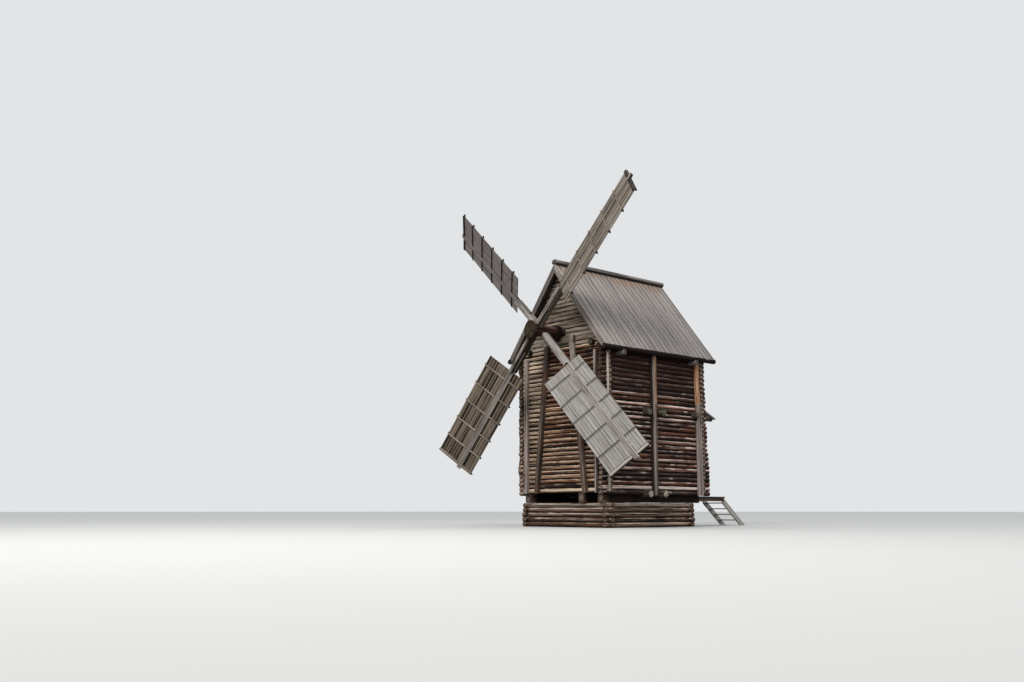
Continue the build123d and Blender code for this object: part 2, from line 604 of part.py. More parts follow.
def make_sail(number):
    """Bars through the whip, boards in front of them with a batten over each bar, and the whip."""
    plane = sail_plane(number, SAIL_PITCHES[number])
    bay = (SAIL_TIP - SAIL_ROOT) / (BAR_COUNT - 0.5)
    half_bar = BAR_SIZE / 2
    wide_edge = -WHIP_OFFSET - WIDE_SIDE
    narrow_edge = -WHIP_OFFSET + NARROW_SIDE
    back = half_bar - BAR_BEHIND
    front = back + BOARD_THICKNESS
    bars = []
    sheet = plane * block(SAIL_ROOT, SAIL_TIP, wide_edge, narrow_edge, back, front)
    for bar in range(BAR_COUNT):
        place = min(SAIL_ROOT + (bar + 0.5) * bay, SAIL_TIP - half_bar)
        bars.append(plane * block(place - half_bar, place + half_bar, wide_edge - BAR_PAST_BOARDS,
                                  narrow_edge + BAR_PAST_BOARDS, back - BAR_SIZE, back))
        sheet += plane * block(place - BATTEN_WIDTH / 2, place + BATTEN_WIDTH / 2, wide_edge, narrow_edge,
                               back, front + BATTEN_THICKNESS)
    outline = Polyline((WHIP_ROOT, -WHIP_OFFSET - WHIP_ROOT_WIDTH / 2),
                       (WHIP_TIP, -WHIP_OFFSET - WHIP_TIP_WIDTH / 2),
                       (WHIP_TIP, -WHIP_OFFSET + WHIP_TIP_WIDTH / 2),
                       (WHIP_ROOT, -WHIP_OFFSET + WHIP_ROOT_WIDTH / 2), close=True)
    whip = plane * Pos(0, 0, -WHIP_THICKNESS / 2) * extrude(make_face(outline), WHIP_THICKNESS)
    boards = sheet - whip
    return whip, whip - bars, bars, boards


def stock_arm(number):
    """Half of a stock, squared to the shaft."""
    plane = sail_plane(number, 0)
    half = STOCK_WIDTH / 2
    return plane * block(0, STOCK_REACH, -half, half, -STOCK_DEPTH / 2, STOCK_DEPTH / 2)


def make_rotor():
    whips = []
    for number in range(len(SAIL_ANGLES)):
        whole_whip, whip, bars, boards = make_sail(number)
        whips.append(whole_whip)
        save_on_body(f"whip_{number + 1}", whip)
        save_on_body(f"sail_bars_{number + 1}", solids(*bars))
        save_on_body(f"sail_boards_{number + 1}", solids(boards))

    stocks = []
    for name, pair in (("front", (0, 2)), ("rear", (1, 3))):
        middle = Pos(0, SHAFT_FRONT + STOCK_INSETS[pair[0] % 2], AXIS_HEIGHT) * Rot(90, 0, 0) * Cylinder(
            STOCK_WIDTH / 2, STOCK_DEPTH)
        stock = stock_arm(pair[0]) + stock_arm(pair[1]) + middle
        stocks.append(stock)
        save_on_body(f"stock_{name}", stock - [whips[number] for number in pair])

    neck_front = -HALF_LENGTH - LEG_THICKNESS
    shaft = round_along_y(AXIS_HEIGHT, SHAFT_DIAMETER, SHAFT_FRONT, SHAFT_TAIL - JOURNAL_LENGTH)
    shaft += round_along_y(AXIS_HEIGHT, HEAD_DIAMETER, SHAFT_FRONT, SHAFT_FRONT + HEAD_THICKNESS)
    shaft += round_along_y(AXIS_HEIGHT, COLLAR_DIAMETER, neck_front - COLLAR_GAP - COLLAR_THICKNESS,
                           neck_front - COLLAR_GAP)
    shaft += round_along_y(AXIS_HEIGHT, JOURNAL_DIAMETER, SHAFT_TAIL - JOURNAL_LENGTH, SHAFT_TAIL)
    save_on_body("windshaft", shaft - stocks)


def main():
    below = under_roof()
    roof = [roof_slope(-1), roof_slope(1)]
    under, crown, cross, ties, long_beams = make_beams()
    eaves = eave_logs(roof)
    purlins = purlin_logs(below)
    ties = [tie - eaves for tie in ties]
    through = under + crown + cross + ties + long_beams + eaves + purlins

    crib_inner = make_crib()
    make_post(crib_inner)
    make_walls(below, through)
    make_gables(below, through)
    make_roof(below, roof, eaves, purlins)
    make_floor_and_crown(under, crown)
    make_bearers(under)
    save_on_body("cross_beams", solids(*cross))
    save_on_body("tie_beams", solids(*ties))
    make_uprights(eaves)
    make_shaft_supports(long_beams)
    make_entrance()
    make_rotor()


main()
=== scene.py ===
# %% [markdown]
# A log windmill that turns on a post.
# The imported model gives every timber its place, and this file gives the timbers their looks:
# single logs instead of plain walls, single boards instead of plain sheets, and weathered wood on all of it,
# with painted highlights and painted shade in its colours.

# %% Load the frame
import math
import random

import bpy
from mathutils import Matrix, Vector


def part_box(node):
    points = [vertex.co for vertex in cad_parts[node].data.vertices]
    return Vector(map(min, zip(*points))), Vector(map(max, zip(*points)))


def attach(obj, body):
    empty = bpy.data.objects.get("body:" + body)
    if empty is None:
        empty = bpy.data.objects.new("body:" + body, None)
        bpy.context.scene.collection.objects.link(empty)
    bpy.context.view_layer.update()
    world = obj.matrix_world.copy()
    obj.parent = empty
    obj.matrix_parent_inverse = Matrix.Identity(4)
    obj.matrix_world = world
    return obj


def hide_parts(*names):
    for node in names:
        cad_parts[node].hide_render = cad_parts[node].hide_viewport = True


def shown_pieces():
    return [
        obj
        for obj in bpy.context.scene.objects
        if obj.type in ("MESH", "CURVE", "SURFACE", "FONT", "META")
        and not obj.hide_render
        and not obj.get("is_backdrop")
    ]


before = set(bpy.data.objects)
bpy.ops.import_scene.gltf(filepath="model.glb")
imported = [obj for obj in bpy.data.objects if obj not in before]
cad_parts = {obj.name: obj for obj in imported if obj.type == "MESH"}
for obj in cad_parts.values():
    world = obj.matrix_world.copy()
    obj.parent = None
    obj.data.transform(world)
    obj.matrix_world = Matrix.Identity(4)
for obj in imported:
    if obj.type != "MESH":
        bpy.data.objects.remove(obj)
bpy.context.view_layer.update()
rng = random.Random(1864)

# %% [markdown]
# The camera comes first. Its place and lens were worked out from the corners of the walls, roof and sails.
# A focal length in pixels becomes a lens in millimetres through the width of the sensor.
# The small shift keeps upright posts nearly upright, as in the photograph.

# %% Camera
IMAGE_WIDTH = 1024
FOCAL_PIXELS = 982.6
CENTRE_ROW_BELOW_MIDDLE = 37.8
CAMERA_PLACE = Vector((25.998, -26.623, 0.616))
CAMERA_TURN = math.radians(49.844)
CAMERA_RISE = math.radians(7.594)

camera_data = bpy.data.cameras.new("camera")
camera_data.sensor_width = 36
camera_data.lens = FOCAL_PIXELS / IMAGE_WIDTH * camera_data.sensor_width
camera_data.shift_y = CENTRE_ROW_BELOW_MIDDLE / IMAGE_WIDTH
camera_data.clip_end = 500
camera = bpy.data.objects.new("camera", camera_data)
camera.location = CAMERA_PLACE
camera.rotation_euler = (math.pi / 2 + CAMERA_RISE, 0, CAMERA_TURN)
bpy.context.scene.collection.objects.link(camera)
bpy.context.scene.camera = camera
print("lens", round(camera_data.lens, 2), "mm")

# %% [markdown]
# The light is soft, as under a bright overcast sky: an even world, and one large lamp in front and above.
# The world looks pale to the camera through Light Path, so the backdrop adds no light to the wood.

# %% World and lamp
def new_node(tree, kind, **values):
    node = tree.nodes.new(kind)
    for name, value in values.items():
        setattr(node, name, value)
    return node


def empty_tree(owner):
    """Node tree of a world or a material, with nothing in it."""
    owner.use_nodes = True
    owner.node_tree.nodes.clear()
    return owner.node_tree


def srgb(red, green, blue):
    """A colour given as 0 to 255 per channel, turned into the linear values that shaders take."""
    def linear(value):
        value = value / 255
        return value / 12.92 if value <= 0.04045 else ((value + 0.055) / 1.055) ** 2.4
    return (linear(red), linear(green), linear(blue), 1.0)


def two_faces(tree, kind, output, to_light, to_camera):
    """One colour for the light and another for what the camera sees; returns the shader for the light."""
    path = new_node(tree, "ShaderNodeLightPath")
    mix = new_node(tree, "ShaderNodeMixShader")
    tree.links.new(path.outputs["Is Camera Ray"], mix.inputs["Fac"])
    tree.links.new(mix.outputs[0], new_node(tree, output).inputs["Surface"])
    shaders = [new_node(tree, kind), new_node(tree, kind)]
    for socket, shader, colour in zip(mix.inputs[1:], shaders, (to_light, to_camera)):
        shader.inputs["Color"].default_value = colour
        tree.links.new(shader.outputs[0], socket)
    return shaders[0]


SKY_COLOUR = (0.95, 0.98, 1.0, 1)
SKY_LIGHT = 0.9
BACKDROP = srgb(226, 228, 230)
LAMP_COLOUR = (1.0, 0.97, 0.93)
LAMP_PLACE = Vector((12.0, -28.0, 25.0))
LAMP_AIM = Vector((0, 0, 4.5))
LAMP_SIZE = 14.0
LAMP_POWER = 6500.0

world = bpy.data.worlds.new("world")
bpy.context.scene.world = world
sky = two_faces(empty_tree(world), "ShaderNodeBackground", "ShaderNodeOutputWorld", SKY_COLOUR, BACKDROP)
sky.inputs["Strength"].default_value = SKY_LIGHT

lamp_data = bpy.data.lights.new("soft_lamp", "AREA")
lamp_data.shape = "DISK"
lamp_data.size = LAMP_SIZE
lamp_data.energy = LAMP_POWER
lamp_data.color = LAMP_COLOUR
lamp = bpy.data.objects.new("soft_lamp", lamp_data)
lamp.location = LAMP_PLACE
lamp.rotation_euler = (LAMP_AIM - LAMP_PLACE).to_track_quat("-Z", "Y").to_euler()
bpy.context.scene.collection.objects.link(lamp)
bpy.context.scene.view_settings.view_transform = "Standard"
print("world and lamp are set")

# %% [markdown]
# Every timber here starts as a primitive, is shaped once in edit mode, and is then copied.
# An operator works on whatever is selected, so a helper clears the selection first.

# %% Selection helpers
def deselect_all():
    if bpy.context.object is not None and bpy.context.object.mode != "OBJECT":
        bpy.ops.object.mode_set(mode="OBJECT")
    bpy.ops.object.select_all(action="DESELECT")


def make_active(obj):
    deselect_all()
    obj.select_set(True)
    bpy.context.view_layer.objects.active = obj


def select_parts(obj, edges=None, faces=None):
    """Select edges or faces of the active mesh by a test on each, then go on in edit mode."""
    make_active(obj)
    bpy.ops.object.mode_set(mode="EDIT")
    bpy.ops.mesh.select_mode(type="EDGE" if edges else "FACE")
    bpy.ops.mesh.select_all(action="DESELECT")
    bpy.ops.object.mode_set(mode="OBJECT")
    if edges:
        for edge in obj.data.edges:
            edge.select = edges(*(obj.data.vertices[i].co for i in edge.vertices))
    if faces:
        for face in obj.data.polygons:
            face.select = faces(face)
    bpy.ops.object.mode_set(mode="EDIT")


def settle(name):
    """Name the newest primitive, give its place to its mesh and leave it active."""
    obj = bpy.context.object
    obj.name = name
    bpy.ops.object.transform_apply(location=True, rotation=True, scale=True)
    return obj


def apply_all(obj):
    make_active(obj)
    for modifier in list(obj.modifiers):
        bpy.ops.object.modifier_apply(modifier=modifier.name)


print("helpers are ready")

# %% [markdown]
# The first pattern is a log one metre long and one metre thick, lying along X.
# Its long edges are subdivided so that it can bend, and each sawn end gets an inset rim.
# The points inside the rim carry a number, cut, that tells the finish to draw the rings of the trunk there.

# %% Log patterns
LOG_SIDES = 14
LOG_RIM = 0.05
BOARD_RIM = 0.06


def lengthwise(a, b):
    return abs(a.x - b.x) > 0.5


def crosswise(a, b):
    return abs(a.y - b.y) > 0.5


def saw_ends(obj, rim):
    """Inset both ends of a pattern and mark what lies inside the rim."""
    select_parts(obj, faces=lambda face: abs(face.normal.x) > 0.9)
    bpy.ops.mesh.inset(thickness=rim, depth=0.0)
    bpy.ops.mesh.poke()
    bpy.ops.object.mode_set(mode="OBJECT")
    mesh = obj.data
    outside = {i for face in mesh.polygons if abs(face.normal.x) < 0.5 for i in face.vertices}
    rim_faces = [face for face in mesh.polygons if abs(face.normal.x) > 0.9]
    inside = {i for face in rim_faces for i in face.vertices} - outside
    cut = mesh.attributes.new("cut", "FLOAT", "POINT")
    cut.data.foreach_set("value", [1.0 if i in inside else 0.0 for i in range(len(mesh.vertices))])
    return obj


def log_pattern(name, sides, cuts):
    deselect_all()
    bpy.ops.mesh.primitive_cylinder_add(vertices=sides, radius=0.5, depth=1, location=(0.5, 0, 0),
                                        rotation=(0, math.pi / 2, 0))
    obj = settle(name)
    select_parts(obj, edges=lengthwise)
    bpy.ops.mesh.subdivide(number_cuts=cuts)
    return saw_ends(obj, LOG_RIM)


long_log = log_pattern("long_log", LOG_SIDES, 55)
thin_log = log_pattern("thin_log", 6, 9)
stout_log = log_pattern("stout_log", 24, 15)
print("log patterns have", len(long_log.data.polygons), len(thin_log.data.polygons), "faces")

# %% [markdown]
# The second pattern is a squared timber: a cube whose long edges are bevelled, then cut along their length.
# A board is the same with no bevel and with cuts across, so that it can twist a little.

# %% Squared patterns
def square_pattern(name, cuts, strips=0, chamfer=0.0):
    deselect_all()
    bpy.ops.mesh.primitive_cube_add(size=1, location=(0.5, 0, 0))
    obj = settle(name)
    if chamfer:
        select_parts(obj, edges=lengthwise)
        bpy.ops.mesh.bevel(offset=chamfer, segments=2, affect="EDGES")
    if strips:
        select_parts(obj, edges=crosswise)
        bpy.ops.mesh.subdivide(number_cuts=strips)
    select_parts(obj, edges=lengthwise)
    bpy.ops.mesh.subdivide(number_cuts=cuts)
    return saw_ends(obj, BOARD_RIM)


beam = square_pattern("beam", 13, chamfer=0.07)
short_beam = square_pattern("short_beam", 3, chamfer=0.07)
plank = square_pattern("plank", 15, chamfer=0.03)
board = square_pattern("board", 11, strips=2)
short_board = square_pattern("short_board", 3)
patterns = [long_log, thin_log, stout_log, beam, short_beam, plank, board, short_board]
print("patterns:", [(pattern.name, len(pattern.data.polygons)) for pattern in patterns])

# %% [markdown]
# A timber is a copy of a pattern, stretched from one point to another.
# Before it is turned into place it stores where each of its points lies along and across the grain, its own
# half width and depth, and five numbers: tone for light or dark, warm for grey or brown, gap for painted
# shade on a log's lower side and in the gap above the next log, a number for painted shade where eaves,
# recesses and neighbouring parts would shade the wood, and wash for wood that rain has bleached all over. A
# hewn log is flat in front and behind, as an axe leaves it.

# %% Place a timber
def jitter(amount):
    return rng.uniform(-amount, amount)


def clamp(value):
    return max(0.0, min(1.0, value))


def timber(pattern, start, end, width, depth, up=(0, 0, 1), roll=0.0, thin=1.0, bow=0.0, twist=0.0,
           tone=None, warm=None, gap=0.0, soot=0.0, wash=0.0, hewn=0.5):
    """Copy of a pattern from start to end; depth is measured along up and width across it."""
    start, end = Vector(start), Vector(end)
    length = (end - start).length
    x_axis = (end - start).normalized()
    y_axis = Vector(up).cross(x_axis).normalized()
    z_axis = x_axis.cross(y_axis)
    mesh = pattern.data.copy()
    if roll:
        mesh.transform(Matrix.Rotation(roll, 4, "X"))
    shift = rng.uniform(0, 50)
    tone = rng.random() if tone is None else tone
    warm = rng.random() if warm is None else warm
    bow_y, bow_z = jitter(bow), jitter(bow)
    grain, form = [], []
    for vertex in mesh.vertices:
        along, y, z = vertex.co
        size = 1 + (thin - 1) * along
        y = max(-hewn, min(hewn, y)) * 0.5 / hewn
        y, z = y * width * size, z * depth * size
        grain += (along * length + shift, y, z)
        form += (width * size / 2, depth * size / 2, 0.0)
        turn = twist * (along - 0.5)
        arch = math.sin(math.pi * along)
        vertex.co = (along * length, y * math.cos(turn) - z * math.sin(turn) + bow_y * arch,
                     y * math.sin(turn) + z * math.cos(turn) + bow_z * arch)
    count = len(mesh.vertices)
    for name, values in (("grain", grain), ("form", form)):
        mesh.attributes.new(name, "FLOAT_VECTOR", "POINT").data.foreach_set("vector", values)
    for name, value in (("tone", tone), ("warm", warm), ("gap", gap), ("soot", soot), ("wash", wash)):
        mesh.attributes.new(name, "FLOAT", "POINT").data.foreach_set("value", [value] * count)
    turn = Matrix((x_axis, y_axis, z_axis)).transposed().to_4x4()
    mesh.transform(Matrix.Translation(start) @ turn)
    obj = bpy.data.objects.new(pattern.name + "_copy", mesh)
    bpy.context.scene.collection.objects.link(obj)
    return obj


def join(name, pieces):
    deselect_all()
    for piece in pieces:
        piece.select_set(True)
    bpy.context.view_layer.objects.active = pieces[0]
    if len(pieces) > 1:
        bpy.ops.object.join()
    obj = bpy.context.object
    obj.name = name
    return obj


def weather_and_shade(obj, rule):
    """Add to warm, to the painted shade and to wash from point to point; rule gives the three amounts for a
    place.
    """
    layers = [obj.data.attributes[name].data for name in ("warm", "soot", "wash")]
    for vertex, *values in zip(obj.data.vertices, *layers):
        for value, amount in zip(values, rule(vertex.co)):
            value.value = max(0.0, value.value + amount)


print("a timber is a stretched copy of a pattern")

# %% [markdown]
# Old logs are never straight or smooth. Displace pushes the points in and out by a cloud texture,
# once in long waves for the crooked trunk and once in short ones for axe marks and knots.
# A boolean cuts round holes, and bisect saws a timber off along a plane.

# %% Rough wood and cuts
def roughen(obj, wave, wave_size, rough, rough_size):
    """Waves and marks, each given by its height and its length in metres."""
    for name, strength, size in (("wave", wave, wave_size), ("rough", rough, rough_size)):
        if not strength:
            continue
        texture = bpy.data.textures.new(name, "CLOUDS")
        texture.noise_scale = size
        texture.noise_depth = 2
        modifier = obj.modifiers.new(name, "DISPLACE")
        modifier.texture = texture
        modifier.strength = strength
        modifier.mid_level = 0.5
        modifier.texture_coords = "LOCAL"
        modifier.direction = "NORMAL"
    apply_all(obj)


def bevel_edges(obj, width, segments):
    modifier = obj.modifiers.new("bevel", "BEVEL")
    modifier.width = width
    modifier.segments = segments
    modifier.limit_method = "ANGLE"
    modifier.angle_limit = math.radians(50)
    apply_all(obj)


def cut_round(obj, start, end, radius):
    """Take a round hole from start to end out of a timber."""
    start, end = Vector(start), Vector(end)
    turn = (end - start).to_track_quat("Z", "Y").to_euler()
    deselect_all()
    bpy.ops.mesh.primitive_cylinder_add(vertices=32, radius=radius, depth=(end - start).length,
                                        location=(start + end) / 2, rotation=turn)
    cutter = bpy.context.object
    modifier = obj.modifiers.new("hole", "BOOLEAN")
    modifier.operation = "DIFFERENCE"
    modifier.object = cutter
    modifier.solver = "EXACT"
    apply_all(obj)
    bpy.data.objects.remove(cutter)


def saw_off(obj, place, outward):
    """Cut away what lies on the outward side of a plane, and close the cut."""
    make_active(obj)
    bpy.ops.object.mode_set(mode="EDIT")
    bpy.ops.mesh.select_all(action="SELECT")
    bpy.ops.mesh.bisect(plane_co=place, plane_no=Vector(outward).normalized(), use_fill=True,
                        clear_outer=True)
    bpy.ops.object.mode_set(mode="OBJECT")


def press_flat(obj, low, high):
    """Keep a rough piece between two heights, as the ground below and what lies on top do."""
    for vertex in obj.data.vertices:
        vertex.co.z = max(low, min(high, vertex.co.z))


print("roughen, bevel, holes and saw cuts are ready")

# %% [markdown]
# All the wood is one recipe: long streaks along the grain, fine fibres, dark checks where the wood has split,
# knots, and a tone of its own for each timber. Logs also bleach on top, with a painted highlight there, which
# the upward part of the normal tells, and get painted shade on their lower side and in the gaps between them.
# Sawn ends show rings and splits that run out from the middle. Boards may have a dark line along their edges,
# from dirt in a joint and painted shade, and a pale one where an edge is worn, which is also a painted
# highlight.
# Only the colours and strengths differ from one kind of timber to the next.

# %% Wood finish
# Near-black colour of the painted shade in the gaps between logs.
PAINTED_GAP_SHADE = srgb(18, 12, 10)
WOOD_ROUGHNESS = 0.85
WOOD_SHINE = 0.2
BUMP_DEPTH = 0.02
RINGS = 420.0
finishes = {}


def wood(name, dark, middle, light, end, streak=9.0, tone_range=0.3, contrast=1.0, warm=None, bleach_and_highlight=None,
         top_light=0.0, checks=0.4, knots=0.0, knot_size=(2.2, 6.0), line=None, one_edge=False, wear_and_highlight=None,
         wear_and_highlight_side=-1, shadow=(0.1, 0.6), soot_colour=(30, 19, 16), bump=0.35):
    """Warm and the bleach begin with a strength and a colour, line and the worn edge with a width and a
    colour.
    The bleach is weathering and also a painted highlight on faces that look up, and top_light adds painted
    highlight on the upper part of a log.
    """
    dark, middle, light, end = (srgb(*colour) for colour in (dark, middle, light, end))
    material = bpy.data.materials.new(name)
    tree = empty_tree(material)
    link = tree.links.new
    surface = new_node(tree, "ShaderNodeBsdfPrincipled")
    surface.inputs["Roughness"].default_value = WOOD_ROUGHNESS
    surface.inputs["Specular IOR Level"].default_value = WOOD_SHINE
    link(surface.outputs[0], new_node(tree, "ShaderNodeOutputMaterial").inputs["Surface"])

    def attribute(name, output="Fac"):
        return new_node(tree, "ShaderNodeAttribute", attribute_name=name).outputs[output]

    def put(socket, value):
        """A number or a colour is set on a socket, and an output is linked to it."""
        if isinstance(value, (int, float, tuple)):
            socket.default_value = value
        else:
            link(value, socket)

    def split(vector):
        node = new_node(tree, "ShaderNodeSeparateXYZ")
        link(vector, node.inputs[0])
        return node.outputs

    def stretched(stretch, source):
        mapping = new_node(tree, "ShaderNodeMapping")
        mapping.inputs["Scale"].default_value = stretch
        link(source, mapping.inputs["Vector"])
        return mapping.outputs[0]

    def noise(stretch, detail, rough, source):
        texture = new_node(tree, "ShaderNodeTexNoise")
        texture.inputs["Scale"].default_value = 1.0
        texture.inputs["Detail"].default_value = detail
        texture.inputs["Roughness"].default_value = rough
        link(stretched(stretch, source), texture.inputs["Vector"])
        return texture.outputs["Fac"]

    def calculate(operation, first, second=0.0):
        node = new_node(tree, "ShaderNodeMath", operation=operation)
        put(node.inputs[0], first)
        put(node.inputs[1], second)
        return node.outputs[0]

    def plus(first, second):
        return calculate("ADD", first, second)

    def minus(first, second):
        return calculate("SUBTRACT", first, second)

    def times(first, second):
        return calculate("MULTIPLY", first, second)

    def swing(value, amount):
        """A value around a half becomes an amount around zero."""
        return times(minus(value, 0.5), amount)

    def mix_colour(fac, first, second):
        node = new_node(tree, "ShaderNodeMix", data_type="RGBA")
        put(node.inputs[0], fac)
        put(node.inputs[6], first)
        put(node.inputs[7], second)
        return node.outputs[2]

    def ramp(fac, *stops):
        node = new_node(tree, "ShaderNodeValToRGB")
        elements = node.color_ramp.elements
        while len(elements) < len(stops):
            elements.new(0.5)
        for element, (place, value) in zip(elements, stops):
            element.position = place
            element.color = value if isinstance(value, tuple) else (value, value, value, 1)
        link(fac, node.inputs["Fac"])
        return node.outputs["Color"]

    def limited(value):
        return ramp(value, (0, 0), (1, 1))

    grain = attribute("grain", "Vector")
    tone, warmth, gap, soot, wash, cut = map(attribute, ("tone", "warm", "gap", "soot", "wash", "cut"))
    along, across, above = split(grain)
    half_width, half_depth, _ = split(attribute("form", "Vector"))
    height = calculate("DIVIDE", above, half_depth)
    streaks = noise((0.9, streak, streak), 5.0, 0.6, grain)
    fibres = noise((4.0, streak * 7, streak * 7), 3.0, 0.6, grain)
    both = plus(times(streaks, 0.65), times(fibres, 0.35))
    spread = 0.16 / contrast
    shades = ((0.5 - spread, dark), (0.5, middle), (0.5 + spread, light))
    colour = ramp(plus(both, swing(tone, tone_range)), *shades)

    def near_edge(place, width):
        """One at the edge that a place across the board leads to, and zero further in than the width."""
        inward = plus(calculate("DIVIDE", minus(half_width, place), width), swing(streaks, 1.2))
        return ramp(inward, (0.55, 1), (0.85, 0))

    if warm:
        strength, warm_colour = warm
        patches = noise((0.7, 1.5, 1.5), 3.0, 0.5, grain)
        amount = ramp(plus(patches, swing(warmth, 0.5)), (0.46, 0), (0.66, 1))
        colour = mix_colour(times(amount, strength), colour, srgb(*warm_colour))
    # Faces that look up take the bleach colour: weathering, and also a painted highlight that leaves the
    # faces looking down darker.
    if bleach_and_highlight:
        strength, bleach_and_highlight_colour, low, high = bleach_and_highlight
        normal = new_node(tree, "ShaderNodeNewGeometry").outputs["Normal"]
        upward = plus(plus(split(normal)[2], swing(streaks, 1.6)), times(height, top_light))
        upward = times(minus(upward, low), 1 / (high - low))
        patchiness = ramp(plus(noise((1.7, 4.0, 4.0), 4.0, 0.6, grain), swing(tone, 0.4)), (0.38, 0.1), (0.56, 1))
        amount = calculate("MAXIMUM", times(limited(upward), patchiness), times(wash, plus(streaks, 0.4)))
        colour = mix_colour(times(limited(amount), strength), colour, srgb(*bleach_and_highlight_colour))
    cracks = noise((0.5, streak * 2.6, streak * 2.6), 2.0, 0.4, grain)
    cracks = ramp(cracks, (checks - 0.06, 0), (checks, 1))
    colour = mix_colour(cracks, dark, colour)
    if knots:
        cells = new_node(tree, "ShaderNodeTexVoronoi")
        cells.inputs["Scale"].default_value = 1.0
        link(stretched((*knot_size, 0.0), grain), cells.inputs["Vector"])
        spot = ramp(cells.outputs["Distance"], (0.09, 1), (0.19, 0))
        few = ramp(cells.outputs["Color"], (0.6, 0), (0.62, 1))
        colour = mix_colour(times(times(spot, few), knots), colour, dark)
    # The dark edge line is dirt in a joint and also painted shade beside a board or batten.
    if line:
        width, line_colour = line
        edge = near_edge(across if one_edge else calculate("ABSOLUTE", across), width)
        amount = ramp(times(edge, plus(tone, 0.35)), (0, 0), (1, 0.9))
        colour = mix_colour(amount, colour, srgb(*line_colour))
    # The pale worn edge is wear and also a painted highlight where an edge catches the light.
    if wear_and_highlight:
        width, wear_and_highlight_colour = wear_and_highlight
        amount = times(near_edge(times(across, wear_and_highlight_side), width), 0.8)
        colour = mix_colour(amount, colour, srgb(*wear_and_highlight_colour))

    from_middle = new_node(tree, "ShaderNodeVectorMath", operation="LENGTH")
    link(stretched((0, 1, 1), grain), from_middle.inputs[0])
    radius = from_middle.outputs["Value"]
    rings = calculate("SINE", plus(times(radius, RINGS), times(streaks, 9.0)))
    ends = mix_colour(times(ramp(rings, (0.3, 0), (0.9, 1)), 0.45), end, middle)
    spoke = new_node(tree, "ShaderNodeCombineXYZ")
    link(calculate("ARCTAN2", above, across), spoke.inputs[0])
    link(along, spoke.inputs[1])
    splits = ramp(noise((2.4, 3.1, 1.0), 1.0, 0.5, spoke.outputs[0]), (0.4, 0), (0.45, 1))
    ends = mix_colour(splits, dark, ends)
    rim = ramp(calculate("DIVIDE", radius, half_width), (0.6, 0), (0.95, 0.7))
    colour = mix_colour(cut, colour, mix_colour(rim, ends, dark))

    # Painted shade: the lower side of a log and the crease where its top meets the next log darken towards
    # the gap colour, as far as the gap number says.
    wobble = swing(streaks, 1.3)
    under = ramp(minus(wobble, height), (shadow[0], 0), (shadow[1], 1))
    over = ramp(plus(height, times(wobble, 0.3)), (0.86, 0), (0.98, 1))
    gap_shade_amount = limited(times(calculate("MAXIMUM", under, over), gap))
    colour = mix_colour(times(gap_shade_amount, 0.92), colour, PAINTED_GAP_SHADE)
    # Painted shade where eaves, recesses and neighbouring parts would shade the wood darkens it towards a
    # shade colour.
    sooty = limited(times(soot, plus(streaks, 0.5)))
    colour = mix_colour(times(sooty, 0.94), colour, srgb(*soot_colour))
    link(colour, surface.inputs["Base Color"])
    bumps = new_node(tree, "ShaderNodeBump")
    bumps.inputs["Strength"].default_value = bump
    bumps.inputs["Distance"].default_value = BUMP_DEPTH
    link(plus(times(both, 0.6), times(cracks, 0.4)), bumps.inputs["Height"])
    link(bumps.outputs[0], surface.inputs["Normal"])
    finishes[name] = material


print("the wood recipe is ready")

# %% [markdown]
# Each kind of timber takes its own colours: dark, middle and light along the grain, then the sawn ends.
# Sun and rain turn bare pine grey, from silver on the sails to violet-grey on the roof,
# while the walls under the eaves keep a tarry brown, darkened there with painted shade.

# %% Kinds of wood
LOG_LOOKS = {"streak": 18.0, "contrast": 2.0, "top_light": 0.6, "bump": 0.6}
wood("wall_wood", (30, 15, 11), (92, 56, 43), (162, 124, 108), (172, 150, 132), warm=(0.5, (138, 76, 48)),
     bleach_and_highlight=(1.0, (244, 220, 210), 0.1, 0.65), checks=0.435, soot_colour=(46, 25, 19), **LOG_LOOKS)
wood("front_wood", (32, 18, 13), (98, 63, 45), (160, 122, 98), (172, 150, 132), warm=(0.5, (142, 86, 52)),
     bleach_and_highlight=(1.0, (226, 202, 176), 0.15, 0.75), checks=0.46, **LOG_LOOKS)
wood("gable_wood", (74, 63, 55), (142, 129, 115), (178, 166, 150), (100, 86, 74), streak=18.0, tone_range=0.2,
     contrast=1.6, warm=(0.3, (140, 114, 88)), bleach_and_highlight=(0.6, (192, 182, 168), -0.2, 0.7), checks=0.46,
     shadow=(0.5, 0.9))
wood("roof_wood", (110, 102, 99), (148, 139, 135), (174, 165, 160), (226, 220, 212), streak=22.0,
     tone_range=0.1, contrast=1.15, warm=(0.7, (150, 116, 90)), bleach_and_highlight=(1.0, (214, 209, 202), 4.0, 5.0),
     knots=0.95, knot_size=(2.4, 5.0), line=(0.045, (16, 13, 12)), one_edge=True,
     wear_and_highlight=(0.035, (204, 198, 194)), bump=0.25)
wood("sail_wood", (116, 110, 105), (154, 149, 144), (174, 169, 165), (168, 158, 146), streak=20.0,
     tone_range=0.12, contrast=1.2, knots=0.8, line=(0.02, (26, 22, 21)), one_edge=True,
     wear_and_highlight=(0.012, (206, 201, 196)))
wood("pale_sail_wood", (74, 67, 61), (127, 118, 109), (160, 151, 140), (40, 34, 30), streak=14.0,
     contrast=1.3, warm=(0.3, (128, 106, 86)), knots=0.6, line=(0.022, (46, 38, 32)))
wood("tan_sail_wood", (48, 41, 36), (96, 84, 74), (136, 122, 108), (120, 108, 94), streak=18.0,
     tone_range=0.5, contrast=1.3, warm=(0.25, (100, 80, 64)), knots=0.6, line=(0.014, (30, 25, 22)),
     one_edge=True, wear_and_highlight=(0.022, (186, 170, 152)))
